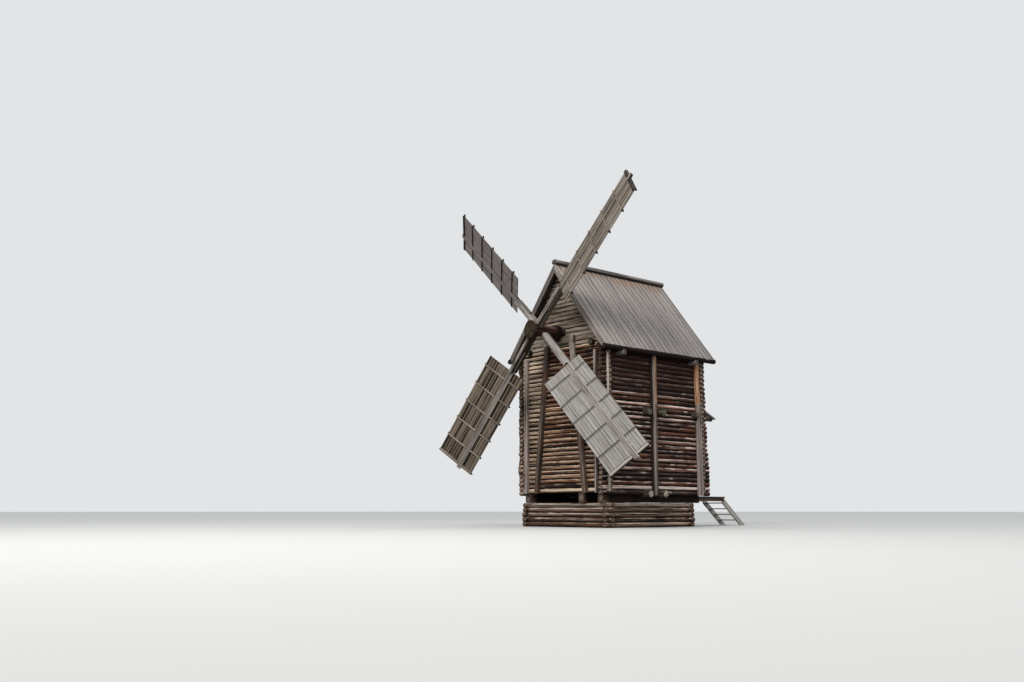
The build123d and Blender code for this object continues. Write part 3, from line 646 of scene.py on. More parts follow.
wood("brown_sail_wood", (94, 86, 84), (142, 133, 130), (168, 159, 155), (60, 52, 48), streak=18.0,
     tone_range=0.2, warm=(0.2, (140, 122, 108)), bleach_and_highlight=(0.9, (170, 168, 158), 2.0, 3.0), knots=0.6,
     line=(0.012, (60, 52, 50)))
# Bars and some battens are near-black: painted shade for the bars behind the boards and for the shadow lines
# of battens.
wood("bar_wood_with_painted_shade", (16, 13, 12), (38, 32, 29), (66, 58, 53), (28, 23, 20))
wood("batten_wood_with_painted_shade", (10, 8, 8), (26, 22, 21), (52, 47, 44), (60, 54, 50), wear_and_highlight=(0.013, (196, 190, 184)))
wood("tip_batten_wood", (126, 116, 108), (172, 161, 152), (196, 186, 178), (176, 164, 154),
     line=(0.034, (14, 12, 11)), one_edge=True)
wood("dull_batten_wood", (74, 66, 58), (128, 118, 104), (166, 156, 140), (120, 108, 94),
     line=(0.016, (44, 37, 32)), one_edge=True)
wood("batten_wood", (96, 86, 76), (156, 144, 130), (192, 182, 168), (140, 126, 110),
     warm=(0.2, (150, 124, 96)))
# On the stocks the bleach, a painted highlight, covers all but the faces that look down, which keep the dark
# colours as painted shade.
wood("stock_wood", (48, 41, 34), (84, 75, 62), (118, 109, 96), (140, 130, 120), streak=18.0, contrast=1.6,
     warm=(0.2, (120, 88, 70)), bleach_and_highlight=(0.95, (172, 164, 160), -0.7, -0.1), checks=0.46)
wood("grey_whip_wood", (88, 80, 76), (138, 129, 124), (165, 156, 150), (150, 144, 138), streak=14.0,
     tone_range=0.15, contrast=1.3, wear_and_highlight=(0.024, (208, 201, 194)), wear_and_highlight_side=1)
wood("shaft_wood", (14, 9, 8), (54, 30, 25), (92, 60, 52), (72, 62, 44), contrast=1.3,
     warm=(0.4, (74, 38, 30)), bleach_and_highlight=(0.85, (160, 136, 132), 0.25, 0.8), checks=0.44)
wood("frame_wood", (46, 36, 30), (102, 85, 75), (154, 138, 126), (128, 112, 98), warm=(0.5, (140, 98, 66)))
wood("post_wood", (54, 44, 39), (116, 102, 95), (166, 153, 147), (150, 138, 130), streak=18.0, tone_range=0.4,
     contrast=1.3, warm=(0.5, (128, 94, 70)), bleach_and_highlight=(0.9, (206, 194, 184), 0.5, 1.0), checks=0.44)
wood("mossy_wood", (32, 28, 24), (76, 69, 60), (116, 107, 95), (122, 113, 94), contrast=1.3,
     warm=(0.2, (84, 82, 62)), checks=0.45)
wood("pale_beam_wood", (44, 38, 33), (96, 87, 77), (140, 130, 118), (206, 194, 174), contrast=1.3,
     checks=0.45)
wood("young_wood", (118, 80, 58), (190, 141, 106), (220, 178, 144), (170, 130, 100), streak=16.0,
     contrast=1.4)
wood("edge_wood", (74, 68, 66), (128, 121, 118), (164, 157, 154), (90, 80, 74), warm=(0.3, (128, 108, 92)),
     bleach_and_highlight=(0.9, (198, 190, 184), 0.8, 1.4))
wood("dark_wood", (22, 17, 15), (48, 40, 36), (80, 71, 65), (90, 80, 71), warm=(0.2, (76, 54, 40)))
wood("crib_wood", (38, 26, 21), (88, 64, 52), (138, 110, 92), (128, 104, 86), streak=14.0, contrast=1.5,
     warm=(0.45, (120, 80, 54)), bleach_and_highlight=(0.9, (200, 182, 166), 0.2, 0.8), top_light=0.6, checks=0.45,
     bump=0.5)
# The moss is near-black: its own dark colour and also painted shade deep in the gaps between the logs.
wood("moss", (14, 11, 9), (26, 21, 17), (38, 31, 24), (26, 21, 17))
print("wood finishes:", len(finishes))

# %% [markdown]
# A finished group of timbers rides on its body and hides the plain solid that it stands for.
# One function takes a group all the way: joined, roughened, bevelled, weathered and given painted shade,
# finished.

# %% Make a piece
SMOOTH_ANGLE = math.radians(40)


def finish_piece(obj, finish, *nodes, body="mill", slot="frame_timber"):
    obj.data.materials.clear()
    obj.data.materials.append(finishes[finish])
    make_active(obj)
    bpy.ops.object.shade_smooth_by_angle(angle=SMOOTH_ANGLE)
    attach(obj, body)
    if nodes:
        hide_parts(*nodes)
    print(obj.name, len(obj.data.polygons), "faces")


def make_piece(name, timbers, finish, *nodes, rough=None, bevel=0.0, segments=1, rule=None, **where):
    obj = join(name, timbers)
    if rough:
        roughen(obj, *rough)
    if bevel:
        bevel_edges(obj, bevel, segments)
    if rule:
        weather_and_shade(obj, rule)
    finish_piece(obj, finish, *nodes, **where)


# %% [markdown]
# The walls are round logs, one above another, that cross at the corners with their ends sticking out.
# The side walls lie half a course lower than the front and rear, as notched logs do.
# Each log is a little longer, shorter, thicker or thinner than the next, and thins towards its top end.

# %% Wall sizes
COURSE = 0.165
COURSES = 32
LOG_WIDTH = 0.2
LOG_HEIGHT = COURSE * 1.07
ROOF_ANGLE = math.radians(52)
ROOF_SLOPE = math.tan(ROOF_ANGLE)
ROOF_LEAN = math.cos(ROOF_ANGLE)
LOG_ROUGHNESS = (0.045, 0.7, 0.036, 0.15)
ROOF_THICKNESS = 0.05
DOOR_LEFT = 0.4
DOOR_RIGHT = 1.3
DOOR_COURSES = range(1, 12)
front_low, front_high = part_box("front_wall")
right_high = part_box("right_wall")[1]
roof_low, roof_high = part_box("roof_right")
BODY_BOTTOM = front_low.z
WALL_TOP = BODY_BOTTOM + COURSES * COURSE
FRONT_FACE = front_low.y
REAR_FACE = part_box("rear_wall_sill")[1].y
HALF_WIDTH = right_high.x
CROSS_REACH = front_high.x
FRONT_MIDDLE = FRONT_FACE + LOG_WIDTH / 2
REAR_MIDDLE = REAR_FACE - LOG_WIDTH / 2
SIDE_MIDDLE = HALF_WIDTH - LOG_WIDTH / 2
ROOF_APEX = roof_high.z
UNDER_APEX = ROOF_APEX - ROOF_THICKNESS / ROOF_LEAN
print("front wall at", round(FRONT_FACE, 3), "rear wall at", round(REAR_FACE, 3))


def wall_log(start, end, gap=1.0, hewn=0.42, **looks):
    """One log of a wall; its thicker end changes sides from course to course."""
    if rng.random() < 0.5:
        start, end = end, start
    return timber(long_log, start, end, LOG_WIDTH + jitter(0.014), LOG_HEIGHT + jitter(0.014), hewn=hewn,
                  roll=rng.uniform(0, 6), thin=1 + jitter(0.06), bow=0.012, gap=gap, **looks)


def moss_rope(start, end):
    """Moss packed between two logs keeps the wind out."""
    return timber(thin_log, start, end, 0.09, 0.06)


# %% Front and rear walls
MOSS_REACH = 2.2
BEAM_GAP_HEIGHT = 4.24


def end_walls():
    front, rear, ropes = [], [], []
    for course in range(COURSES):
        z = BODY_BOTTOM + (course + 0.5) * COURSE
        reach = CROSS_REACH + jitter(0.03)
        other = CROSS_REACH + jitter(0.02)
        front.append(wall_log((-reach, FRONT_MIDDLE, z), (other, FRONT_MIDDLE, z), tone=0.5 + jitter(0.45),
                              wash=0.95 if course == 0 else 0.0, warm=0.4 + jitter(0.4)))
        parts = ((-reach, DOOR_LEFT), (DOOR_RIGHT, other)) if course in DOOR_COURSES else ((-reach, other),)
        for start, end in parts:
            rear.append(wall_log((start, REAR_MIDDLE, z), (end, REAR_MIDDLE, z), tone=0.5 + jitter(0.35)))
            if course:
                ropes.append(moss_rope((max(start, -MOSS_REACH), REAR_MIDDLE, z - COURSE / 2),
                                       (min(end, MOSS_REACH), REAR_MIDDLE, z - COURSE / 2)))
        if course:
            ropes.append(moss_rope((-MOSS_REACH, FRONT_MIDDLE, z - COURSE / 2),
                                   (MOSS_REACH, FRONT_MIDDLE, z - COURSE / 2)))
    return front, rear, ropes


def front_weather_and_shade(place):
    """Rain has washed the left third yellow-grey; between the legs the wall keeps its warm brown, and on the
    left a band at the beam gap's height gets painted shade.
    """
    left = clamp((-0.8 - place.x) / 0.4)
    washed = left * (0.25 + 0.65 * clamp((place.z - 2.8) / 2.0)) + 0.55 * clamp((place.x - 1.95) / 0.1)
    middle = clamp((1.5 - abs(place.x)) / 0.4)
    beam_gap = clamp(1 - abs(place.z - BEAM_GAP_HEIGHT) / 0.07) * clamp((-1.2 - place.x) / 0.2)
    return 0.2 * middle - 0.5 * left, 0.8 * beam_gap, washed


front_logs, rear_logs, ropes = end_walls()
make_piece("front_wall_logs", front_logs, "front_wood", "front_wall", slot="wall_logs", rough=LOG_ROUGHNESS,
           rule=front_weather_and_shade)
make_piece("rear_wall_logs", rear_logs, "wall_wood", "rear_wall_sill", "rear_wall_left", "rear_wall_right",
           "rear_wall_over_door", slot="wall_logs", rough=LOG_ROUGHNESS)

# %% Side walls
LOW_LOG_END = 0.10
HIGH_LOG_END = -0.09


def side_wall_shade(place):
    """Painted shade of the eave darkens the upper third, and the top logs nearly to black."""
    shade = clamp((place.z - 4.4) / 0.9)
    return 0.0, 0.85 * shade + 0.3 * clamp((place.z - 5.85) / 0.2), 0.0


for name, side in (("left_wall", -1), ("right_wall", 1)):
    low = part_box(name)[0]
    x = side * SIDE_MIDDLE
    logs = []
    for course in range(COURSES):
        z = low.z + (course + 0.5) * COURSE
        height = (course + 0.5) / COURSES
        rear_end = right_high.y + LOW_LOG_END * clamp(1.5 - 3 * height) + HIGH_LOG_END * clamp(2 * height - 1)
        logs.append(wall_log((x, low.y + jitter(0.03), z), (x, rear_end + jitter(0.025), z),
                             tone=0.5 + jitter(0.45), warm=rng.uniform(0, 0.8),
                             wash=0.95 if course == 1 else 0.0))
        if course:
            ropes.append(moss_rope((x, -2.3, z - COURSE / 2), (x, 2.8, z - COURSE / 2)))
    make_piece(name + "_logs", logs, "wall_wood", name, slot="wall_logs", rough=LOG_ROUGHNESS,
               rule=side_wall_shade)
make_piece("moss_between_logs", ropes, "moss", slot="wall_logs")

# %% [markdown]
# The gables go on with the same logs up to the roof. Each log is sawn along both slopes once it is rough,
# so that no end pokes through the boards. The windshaft passes through a round hole in the front gable.

# %% Gables
SHAFT_HEIGHT = 7.017
SHAFT_HOLE_RADIUS = 0.245
TRIM_GAP = 0.006


def gable_painted_shade(place):
    """Painted shade darkens the logs close under the slopes."""
    below_slope = (UNDER_APEX - ROOF_SLOPE * abs(place.x) - place.z) * ROOF_LEAN
    return 0.0, 0.75 * clamp(1 - below_slope / 0.45), 0.0


def gable(y):
    logs = []
    z = WALL_TOP + COURSE / 2
    while z < UNDER_APEX - 0.12:
        reach = min(HALF_WIDTH, (UNDER_APEX - z + LOG_HEIGHT / 2) / ROOF_SLOPE + 0.05)
        log = wall_log((-reach, y, z), (reach, y, z), hewn=0.3, gap=0.65, tone=0.5 + jitter(0.35))
        roughen(log, *LOG_ROUGHNESS)
        weather_and_shade(log, gable_painted_shade)
        for side in (-1, 1):
            saw_off(log, (0, 0, UNDER_APEX - TRIM_GAP), (side * ROOF_SLOPE, 0, 1))
        if y < 0 and abs(z - SHAFT_HEIGHT) < SHAFT_HOLE_RADIUS + COURSE:
            cut_round(log, (0, y - 1, SHAFT_HEIGHT), (0, y + 1, SHAFT_HEIGHT), SHAFT_HOLE_RADIUS)
        logs.append(log)
        z += COURSE
    return logs


for name, y in (("front_gable", FRONT_MIDDLE), ("rear_gable", REAR_MIDDLE)):
    make_piece(name + "_logs", gable(y), "gable_wood", name, slot="gable_logs")

# %% [markdown]
# The roof has two layers of boards that run down the slope. The lower layer covers the joints of the upper,
# so no daylight shows, and carries painted shade where it shows through them. The boards differ in width,
# thickness and length, and some have twisted a little.

# %% Roof boards
ROOF_BOARDS = 22
TOP_LAYER = 0.028
LOW_LAYER = 0.018
BOARD_GAP = 0.02
VERGE_TONES = {-3: 1.0, -2: 1.1, -1: 0.3}
EAVE_REACH = roof_high.x


def slope_up(side):
    """Direction square to a slope."""
    return Vector((side * math.sin(ROOF_ANGLE), 0, ROOF_LEAN))


def slope_point(side, offset, y, depth):
    """Point on a slope, offset from the middle plane and depth below the tops of the boards."""
    return Vector((side * offset, y, ROOF_APEX - ROOF_SLOPE * offset)) - slope_up(side) * depth


def board_edges(start, end, count, spread):
    """Joints between boards of unequal width."""
    step = (end - start) / count
    return [start] + [start + step * (i + jitter(spread)) for i in range(1, count)] + [end]


def slope_boards(side):
    pieces = []
    low_middle = ROOF_THICKNESS - LOW_LAYER / 2
    for count, middle, thickness, gap, reach in ((ROOF_BOARDS, TOP_LAYER / 2, TOP_LAYER, BOARD_GAP, 0.0),
                                                 (ROOF_BOARDS - 1, low_middle, LOW_LAYER, 0.004, 0.03)):
        edges = board_edges(roof_low.y, roof_high.y, count, 0.14)
        for number, (low, high) in enumerate(zip(edges, edges[1:])):
            y = (low + high) / 2
            upper = gap == BOARD_GAP
            depth = middle + (jitter(0.003) if upper else 0.0)
            foot = EAVE_REACH - reach - rng.uniform(0, 0.012)
            pieces.append(timber(board, slope_point(side, 0.02, y, depth), slope_point(side, foot, y, depth),
                                 high - low - gap, thickness, up=slope_up(side), twist=jitter(0.02),
                                 bow=0.003, warm=rng.uniform(-0.5, 0.1), soot=0.0 if upper else 0.8,
                                 tone=VERGE_TONES.get(number - count, rng.random())))
    return pieces


def roof_weather(place):
    """Near the ridge the boards are younger and browner, and along the eave their ends are bleached."""
    return 1.1 * clamp((place.z - 8.95) / 0.5), 0.0, clamp((roof_low.z + 0.035 - place.z) / 0.02)


for name, side in (("roof_left", -1), ("roof_right", 1)):
    make_piece(name + "_boards", slope_boards(side), "roof_wood", name, slot="roof_boards",
               rough=(0.0, 1, 0.004, 0.2), bevel=0.003, rule=roof_weather)

# %% [markdown]
# A barge board covers the ends of the roof boards on each side of each gable. The two of a gable meet
# under the ridge with a plumb cut, and their lower ends are sawn square.

# %% Barge boards
BARGE_WIDTH = 0.2
BARGE_THICKNESS = 0.04
barge_low, barge_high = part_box("barge_boards")


def barge(side, y):
    """Board on edge down one slope, sawn plumb at the ridge."""
    top = slope_point(side, -0.2, y, BARGE_WIDTH / 2)
    foot = slope_point(side, EAVE_REACH, y, BARGE_WIDTH / 2)
    # The boards of the left slope get some painted shade.
    trim = timber(board, top, foot, BARGE_THICKNESS, BARGE_WIDTH, up=slope_up(side), bow=0.004,
                  tone=0.62 + jitter(0.1), warm=0.8, soot=0.4 if side < 0 else 0.0)
    saw_off(trim, (side * 0.002, 0, 0), (-side, 0, 0))
    return trim


barge_lines = (barge_low.y + BARGE_THICKNESS / 2, barge_high.y - BARGE_THICKNESS / 2)
make_piece("barge_board_planks", [barge(side, y) for y in barge_lines for side in (-1, 1)], "edge_wood",
           "barge_boards", slot="weathered_boards", rough=(0.0, 1, 0.005, 0.25), bevel=0.003)

# %% [markdown]
# The ridge is held down by a log that is hollowed to sit on both slopes. It is made from two half logs,
# each sawn along its slope, so the hollow comes from plain cuts.

# %% Ridge log and eave logs
RIDGE_CAP_WIDTH = 0.26
RIDGE_CAP_HEIGHT = 0.21
cap_low, cap_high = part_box("ridge_cap")
cap_z = cap_high.z - RIDGE_CAP_HEIGHT / 2 * 0.985


# Painted shade along the underside of the ridge log.
def cap_painted_shade(place):
    return 0.0, 0.9 * clamp((cap_z - 0.02 - place.z) / 0.03), 0.0


halves = []
for side in (-1, 1):
    half = timber(stout_log, (0, cap_low.y, cap_z), (0, cap_high.y, cap_z), RIDGE_CAP_WIDTH, RIDGE_CAP_HEIGHT,
                  tone=0.45, warm=0.3)
    roughen(half, 0.014, 0.8, 0.012, 0.12)
    saw_off(half, (0, 0, 0), (-side, 0, 0))
    saw_off(half, (0, 0, ROOF_APEX + 0.004), (-side * ROOF_SLOPE, 0, -1))
    halves.append(half)
make_piece("ridge_log", halves, "edge_wood", "ridge_cap", slot="weathered_boards", rule=cap_painted_shade)

EAVE_LOG = 0.18
EAVE_LOG_X = 2.53
EAVE_LOG_Z = 6.23
eave_low, eave_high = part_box("eave_logs")
# The eave logs are near-black, with painted shade from the roof above them.
eaves = [timber(stout_log, (x, eave_low.y, EAVE_LOG_Z), (x, eave_high.y, EAVE_LOG_Z), EAVE_LOG, EAVE_LOG,
                tone=0.3, warm=0.2, soot=0.95) for x in (-EAVE_LOG_X, EAVE_LOG_X)]
make_piece("eave_log_pair", eaves, "dark_wood", "eave_logs", rough=(0.012, 0.9, 0.008, 0.14))

# %% [markdown]
# Round beams run through the walls, and their ends stick out on both sides. Each kind is a row of places
# with a thickness, so one loop makes all of them.

# %% Beams through the walls
# Node, places along Y, height, thickness and finish.
CROSSING_BEAMS = (
    ("under_beams", (-0.4, 0.4), 1.18, 0.27, "pale_beam_wood"),
    ("crown_beams", (-0.39, 0.39), 4.11, 0.28, "mossy_wood"),
    ("cross_beams", (2.27,), 4.11, 0.2, "mossy_wood"),
    ("tie_beams", (-1.74, 2.16), 6.09, 0.18, "edge_wood"),
)
for name, places, z, diameter, finish in CROSSING_BEAMS:
    low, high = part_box(name)
    logs = [timber(stout_log, (low.x, y, z), (high.x, y, z), diameter, diameter, roll=rng.uniform(0, 6),
                   thin=1 + jitter(0.04), tone=0.55 + jitter(0.15)) for y in places]
    make_piece(name + "_timbers", logs, finish, name, rough=(0.022, 0.5, 0.022, 0.1))

# %% Logs along the building
PURLIN_DIAMETER = 0.15
PURLIN_DROP = (PURLIN_DIAMETER / 2 - 0.01) / ROOF_LEAN
purlin_places = [(x, UNDER_APEX - ROOF_SLOPE * abs(x) - PURLIN_DROP) for x in (-1.7, -0.85, 0, 0.85, 1.7)]
for name, places, diameter in (("long_beams", [(-1.67, 6.5), (1.67, 6.5)], 0.22),
                               ("purlins", purlin_places, PURLIN_DIAMETER)):
    low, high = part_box(name)
    logs = [timber(long_log, (x, low.y, z), (x, high.y, z), diameter, diameter, roll=rng.uniform(0, 6),
                   thin=1 + jitter(0.04)) for x, z in places]
    make_piece(name + "_timbers", logs, "dark_wood", name, rough=(0.01, 0.9, 0.006, 0.14))

# %% [markdown]
# Upright timbers clamp the walls from outside. They are squared with an axe, so their edges are worn round,
# and rain has opened long checks in them.

# %% Clamps and corner plank
POST_ROUGHNESS = (0.01, 0.8, 0.008, 0.12)


def upright(pattern, x_range, y_range, z_range, lean=0.0, **looks):
    """Squared post between three pairs of limits; lean moves its head along Y."""
    x, y = sum(x_range) / 2, sum(y_range) / 2
    return timber(pattern, (x, y - lean / 2, z_range[0]), (x, y + lean / 2, z_range[1]),
                  y_range[1] - y_range[0], x_range[1] - x_range[0], up=(1, 0, 0), **looks)


# Left and right side, distance behind the node's front, and looks.
FRONT_CLAMPS = (
    (-1.925, -1.775, 0.0, {"tone": 0.8, "warm": 0.0}),
    (1.775, 1.86, 0.0, {"tone": 0.85, "warm": 0.0}),
    # This strip, set a little back, is darkened with painted shade.
    (1.86, 1.925, 0.02, {"tone": 0.4, "warm": 0.4, "soot": 0.55}),
)
low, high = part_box("front_clamps")
posts = [upright(beam, (left, right), (low.y + behind, high.y), (low.z, high.z), **looks)
         for left, right, behind, looks in FRONT_CLAMPS]
make_piece("front_clamp_posts", posts, "post_wood", "front_clamps", rough=POST_ROUGHNESS)

# Limits along Y of the strips that the middle and rear clamps are made from.
SET_BACK_STRIP = (-0.115, -0.01)
PALE_STRIP = (-0.02, 0.027)
RIGHT_STRIP = (0.035, 0.115)
REAR_POST = (2.395, 2.55)
REAR_STRIP = (2.565, 2.625)
REAR_TOP = (2.365, 2.54)
SET_BACK_DEPTH = 0.05
SPLIT_HEIGHT = 4.55
YOUNG_HEIGHT = 4.4


def strip_weather(place):
    return 0.9 * clamp((place.z - 3.6) / 0.5), 0.25 * clamp((3.6 - place.z) / 0.5), 0.0


for name, side in (("side_clamps_left", -1), ("side_clamps_right", 1)):
    low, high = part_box(name)
    wide, tall = (low.x, high.x), (low.z, high.z)
    inner = min(wide, key=abs)
    right_half = upright(plank, wide, RIGHT_STRIP, (low.z, YOUNG_HEIGHT), tone=0.45, warm=0.3)
    weather_and_shade(right_half, strip_weather)
    # The strip set back beside the pale one is darkened with painted shadow.
    posts = [upright(plank, sorted((inner, inner + side * SET_BACK_DEPTH)), SET_BACK_STRIP, tall, tone=0.3,
                     warm=0.4, soot=0.8),
             upright(plank, wide, PALE_STRIP, tall, tone=0.85, warm=0.0), right_half,
             upright(beam, wide, REAR_POST, (low.z, SPLIT_HEIGHT), lean=-0.03, tone=0.85, warm=0.0),
             upright(beam, wide, REAR_STRIP, (low.z, SPLIT_HEIGHT + 0.1), lean=-0.03, tone=0.8, warm=0.0)]
    make_piece(name + "_posts", posts, "post_wood", name, rough=POST_ROUGHNESS)
    tops = [upright(beam, wide, REAR_TOP, (SPLIT_HEIGHT, high.z), lean=-0.05, tone=0.5),
            upright(plank, wide, RIGHT_STRIP, (YOUNG_HEIGHT, high.z), tone=0.4)]
    make_piece(name + "_young_tops", tops, "young_wood", rough=POST_ROUGHNESS)

low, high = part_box("corner_plank")
corner_plank = upright(board, (low.x, high.x), (low.y + 0.035, high.y - 0.03), (low.z, high.z), tone=0.95,
                       warm=0.1, wash=1.0)
make_piece("corner_plank_board", [corner_plank], "post_wood", "corner_plank", slot="weathered_boards",
           rough=POST_ROUGHNESS)

# %% Legs and neck beam
LEG_WIDTH = 0.17
LEG_FOOT = 1.29
LEG_HEAD = 0.63
BLEACH_HEIGHT = 5.2
SHAFT_RADIUS = 0.215
low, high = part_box("front_legs")
leg_y = (low.y + high.y) / 2


def right_leg_weather(place):
    pale = clamp((place.z - BLEACH_HEIGHT) / 0.4)
    return -pale, 0.0, 0.6 * pale


legs = []
for side, tone, warm, soot in ((-1, 0.3, 0.5, 0.05), (1, 0.5, 0.7, 0.0)):
    leg = timber(beam, (side * LEG_FOOT, leg_y, low.z - 0.2), (side * LEG_HEAD, leg_y, high.z + 0.2),
                 LEG_WIDTH, high.y - low.y, up=(0, 1, 0), tone=tone, warm=warm, soot=soot)
    if side > 0:
        weather_and_shade(leg, right_leg_weather)
    saw_off(leg, low, (0, 0, -1))
    saw_off(leg, high, (0, 0, 1))
    legs.append(leg)
make_piece("front_leg_posts", legs, "post_wood", "front_legs", rough=POST_ROUGHNESS)


def filling(pattern, node, axis, **looks):
    """Timber that fills the box of a node and lies along its X, axis 0, or its Y, axis 1."""
    low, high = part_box(node)
    start, end = (low + high) / 2, (low + high) / 2
    start[axis], end[axis] = low[axis], high[axis]
    return timber(pattern, start, end, high[1 - axis] - low[1 - axis], high.z - low.z, **looks)


def neck_weather(place):
    outer = clamp((abs(place.x) - 0.6) / 0.15)
    return 0.0, -outer, outer


neck = filling(beam, "neck_beam", 0, tone=0.3, warm=0.3, soot=0.25)
roughen(neck, 0.008, 0.8, 0.006, 0.12)
weather_and_shade(neck, neck_weather)
cut_round(neck, (0, -4, SHAFT_HEIGHT), (0, 0, SHAFT_HEIGHT), SHAFT_RADIUS + 0.003)
finish_piece(neck, "gable_wood", "neck_beam")

# %% [markdown]
# Under the body lie squared bearers, and inside are the floor and the block that turns on the post.
# The floor is boards with a round hole for the post, cut through all of them at once.

# %% Bearers, crown block, floor and tail beam
BEARER_WIDTH = 0.26
FLOOR_BOARDS = 22
SOCKET_RADIUS = 0.123
POST_HOLE_RADIUS = 0.27
TAIL_HOLE_RADIUS = 0.103
bearer_low, bearer_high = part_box("bearer_beams")
bearer_z = (bearer_low.z + bearer_high.z) / 2
bearers = [timber(beam, (x, bearer_low.y, bearer_z), (x, end, bearer_z), BEARER_WIDTH,
                  bearer_high.z - bearer_low.z, tone=tone, warm=0.5)
           for x, end, tone in ((-1.9, bearer_high.y, 0.5), (1.9, bearer_high.y, 0.5), (0.95, -0.4, 0.4))]
# Behind their front ends the bearers get painted shade from the body above them.
make_piece("bearer_timbers", bearers, "frame_wood", "bearer_beams", rough=(0.01, 0.7, 0.01, 0.12),
           rule=lambda place: (0.0, clamp((place.y - bearer_low.y - 0.02) / 0.15), 0.0))

block = filling(short_beam, "crown_block", 1, tone=0.5, warm=0.5)
block_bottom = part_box("crown_block")[0].z
cut_round(block, (0, 0, block_bottom - 0.1), (0, 0, block_bottom + 0.2), SOCKET_RADIUS)
finish_piece(block, "frame_wood", "crown_block")

floor_low, floor_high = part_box("floor_boards")
floor_z = (floor_low.z + floor_high.z) / 2
edges = board_edges(floor_low.x, floor_high.x, FLOOR_BOARDS, 0.12)
floor_pieces = [timber(board, ((low + high) / 2, floor_low.y, floor_z),
                       ((low + high) / 2, floor_high.y, floor_z), high - low - 0.004,
                       floor_high.z - floor_low.z - rng.uniform(0, 0.004))
                for low, high in zip(edges, edges[1:])]
planks = join("floor_planks", floor_pieces)
cut_round(planks, (0, 0, floor_low.z - 0.2), (0, 0, floor_high.z + 0.2), POST_HOLE_RADIUS)
bevel_edges(planks, 0.002, 1)
finish_piece(planks, "edge_wood", "floor_boards", slot="weathered_boards")

tail = filling(beam, "tail_beam", 0, tone=0.4, warm=0.5)
cut_round(tail, (0, 0, SHAFT_HEIGHT), (0, 3, SHAFT_HEIGHT), TAIL_HOLE_RADIUS)
finish_piece(tail, "frame_wood", "tail_beam")

# %% [markdown]
# The crib is the same log work as the walls, five courses high. The post that carries everything
# stands in the middle of it, held by two logs.

# %% Crib and post
CRIB_COURSE = 0.172
CRIB_COURSES = 5
CRIB_LOG = 0.205
CRIB_TOP = CRIB_COURSES * CRIB_COURSE
crib_low, crib_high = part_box("crib_front")
CRIB_REACH = crib_high.x
CRIB_MIDDLE = -crib_low.y - CRIB_LOG / 2

for name, along_x, place in (("crib_front", True, -CRIB_MIDDLE), ("crib_rear", True, CRIB_MIDDLE),
                             ("crib_left", False, -CRIB_MIDDLE), ("crib_right", False, CRIB_MIDDLE)):
    logs = []
    for course in range(CRIB_COURSES):
        z = (course + 0.5) * CRIB_COURSE
        reach, other = CRIB_REACH + jitter(0.03), CRIB_REACH + jitter(0.03)
        ends = ((-reach, place, z), (other, place, z)) if along_x else ((place, -reach, z), (place, other, z))
        logs.append(timber(long_log, *ends, CRIB_LOG + jitter(0.01), CRIB_COURSE * 1.05 + jitter(0.01),
                           roll=rng.uniform(0, 6), thin=1 + jitter(0.05), gap=0.9, tone=0.5 + jitter(0.4),
                           hewn=0.44, warm=0.4 + jitter(0.4),
                           wash=0.6 if course == CRIB_COURSES - 1 else 0.0))
    side_logs = join(name + "_logs", logs)
    roughen(side_logs, 0.028, 0.8, 0.02, 0.16)
    press_flat(side_logs, 0.0, CRIB_TOP + 0.004)
    finish_piece(side_logs, "crib_wood", name, body="base", slot="crib_logs")

POST_DIAMETER = 0.48
PINTLE_DIAMETER = 0.24
PINTLE_HEIGHT = 0.2
post_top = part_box("main_post")[1].z
shoulder = post_top - PINTLE_HEIGHT
post_parts = ((0, shoulder, POST_DIAMETER), (shoulder - 0.01, post_top, PINTLE_DIAMETER))
post, pintle = (timber(stout_log, (0, 0, start), (0, 0, end), diameter, diameter, up=(0, 1, 0), tone=0.5,
                       warm=0.5) for start, end, diameter in post_parts)
roughen(post, 0.01, 0.8, 0.006, 0.12)
press_flat(post, 0.0, shoulder)
make_piece("post_and_pintle", [post, pintle], "frame_wood", "main_post", body="base", slot="post_oak")

HOLDING_LOG = 0.2
low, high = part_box("post_clamp_logs")
hold_z = (low.z + high.z) / 2
holds = [timber(long_log, (low.x, y, hold_z), (high.x, y, hold_z), HOLDING_LOG, HOLDING_LOG, tone=0.4)
         for y in (-0.34, 0.34)]
make_piece("post_holding_logs", holds, "crib_wood", "post_clamp_logs", body="base", slot="crib_logs",
           rough=(0.01, 0.8, 0.008, 0.14))

# %% [markdown]
# The entrance has a deck on two beams, an open stair of four treads, and a boarded hood on brackets.

# %% Deck and stair
PORCH_BEAM_LEFTS = (0.27, 1.27)
PORCH_BEAM_WIDTH = 0.16
deck_low, deck_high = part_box("porch_deck")
porch_low, porch_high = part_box("porch_beams")
porch = []
for left in PORCH_BEAM_LEFTS:
    x = left + PORCH_BEAM_WIDTH / 2
    for start, end, low, high in ((porch_low.y, porch_high.y, porch_low.z, deck_low.z),
                                  (porch_low.y, REAR_FACE, deck_low.z - 0.02, porch_high.z)):
        porch.append(timber(beam, (x, start, (low + high) / 2), (x, end, (low + high) / 2), PORCH_BEAM_WIDTH,
                            high - low, tone=0.5, warm=0.4))
make_piece("porch_beam_timbers", porch, "frame_wood", "porch_beams", rough=(0.0, 1, 0.006, 0.12))

DECK_BOARDS = 12
edges = board_edges(deck_low.y, deck_high.y, DECK_BOARDS, 0.12)
deck_z = (deck_low.z + deck_high.z) / 2
deck_pieces = [timber(board, (deck_low.x + rng.uniform(0, 0.02), (low + high) / 2, deck_z),
                      (deck_high.x - rng.uniform(0, 0.02), (low + high) / 2, deck_z), high - low - 0.01,
                      deck_high.z - deck_low.z, bow=0.002) for low, high in zip(edges, edges[1:])]
make_piece("porch_deck_boards", deck_pieces, "edge_wood", "porch_deck", slot="weathered_boards",
           rough=(0.0, 1, 0.005, 0.2), bevel=0.004)

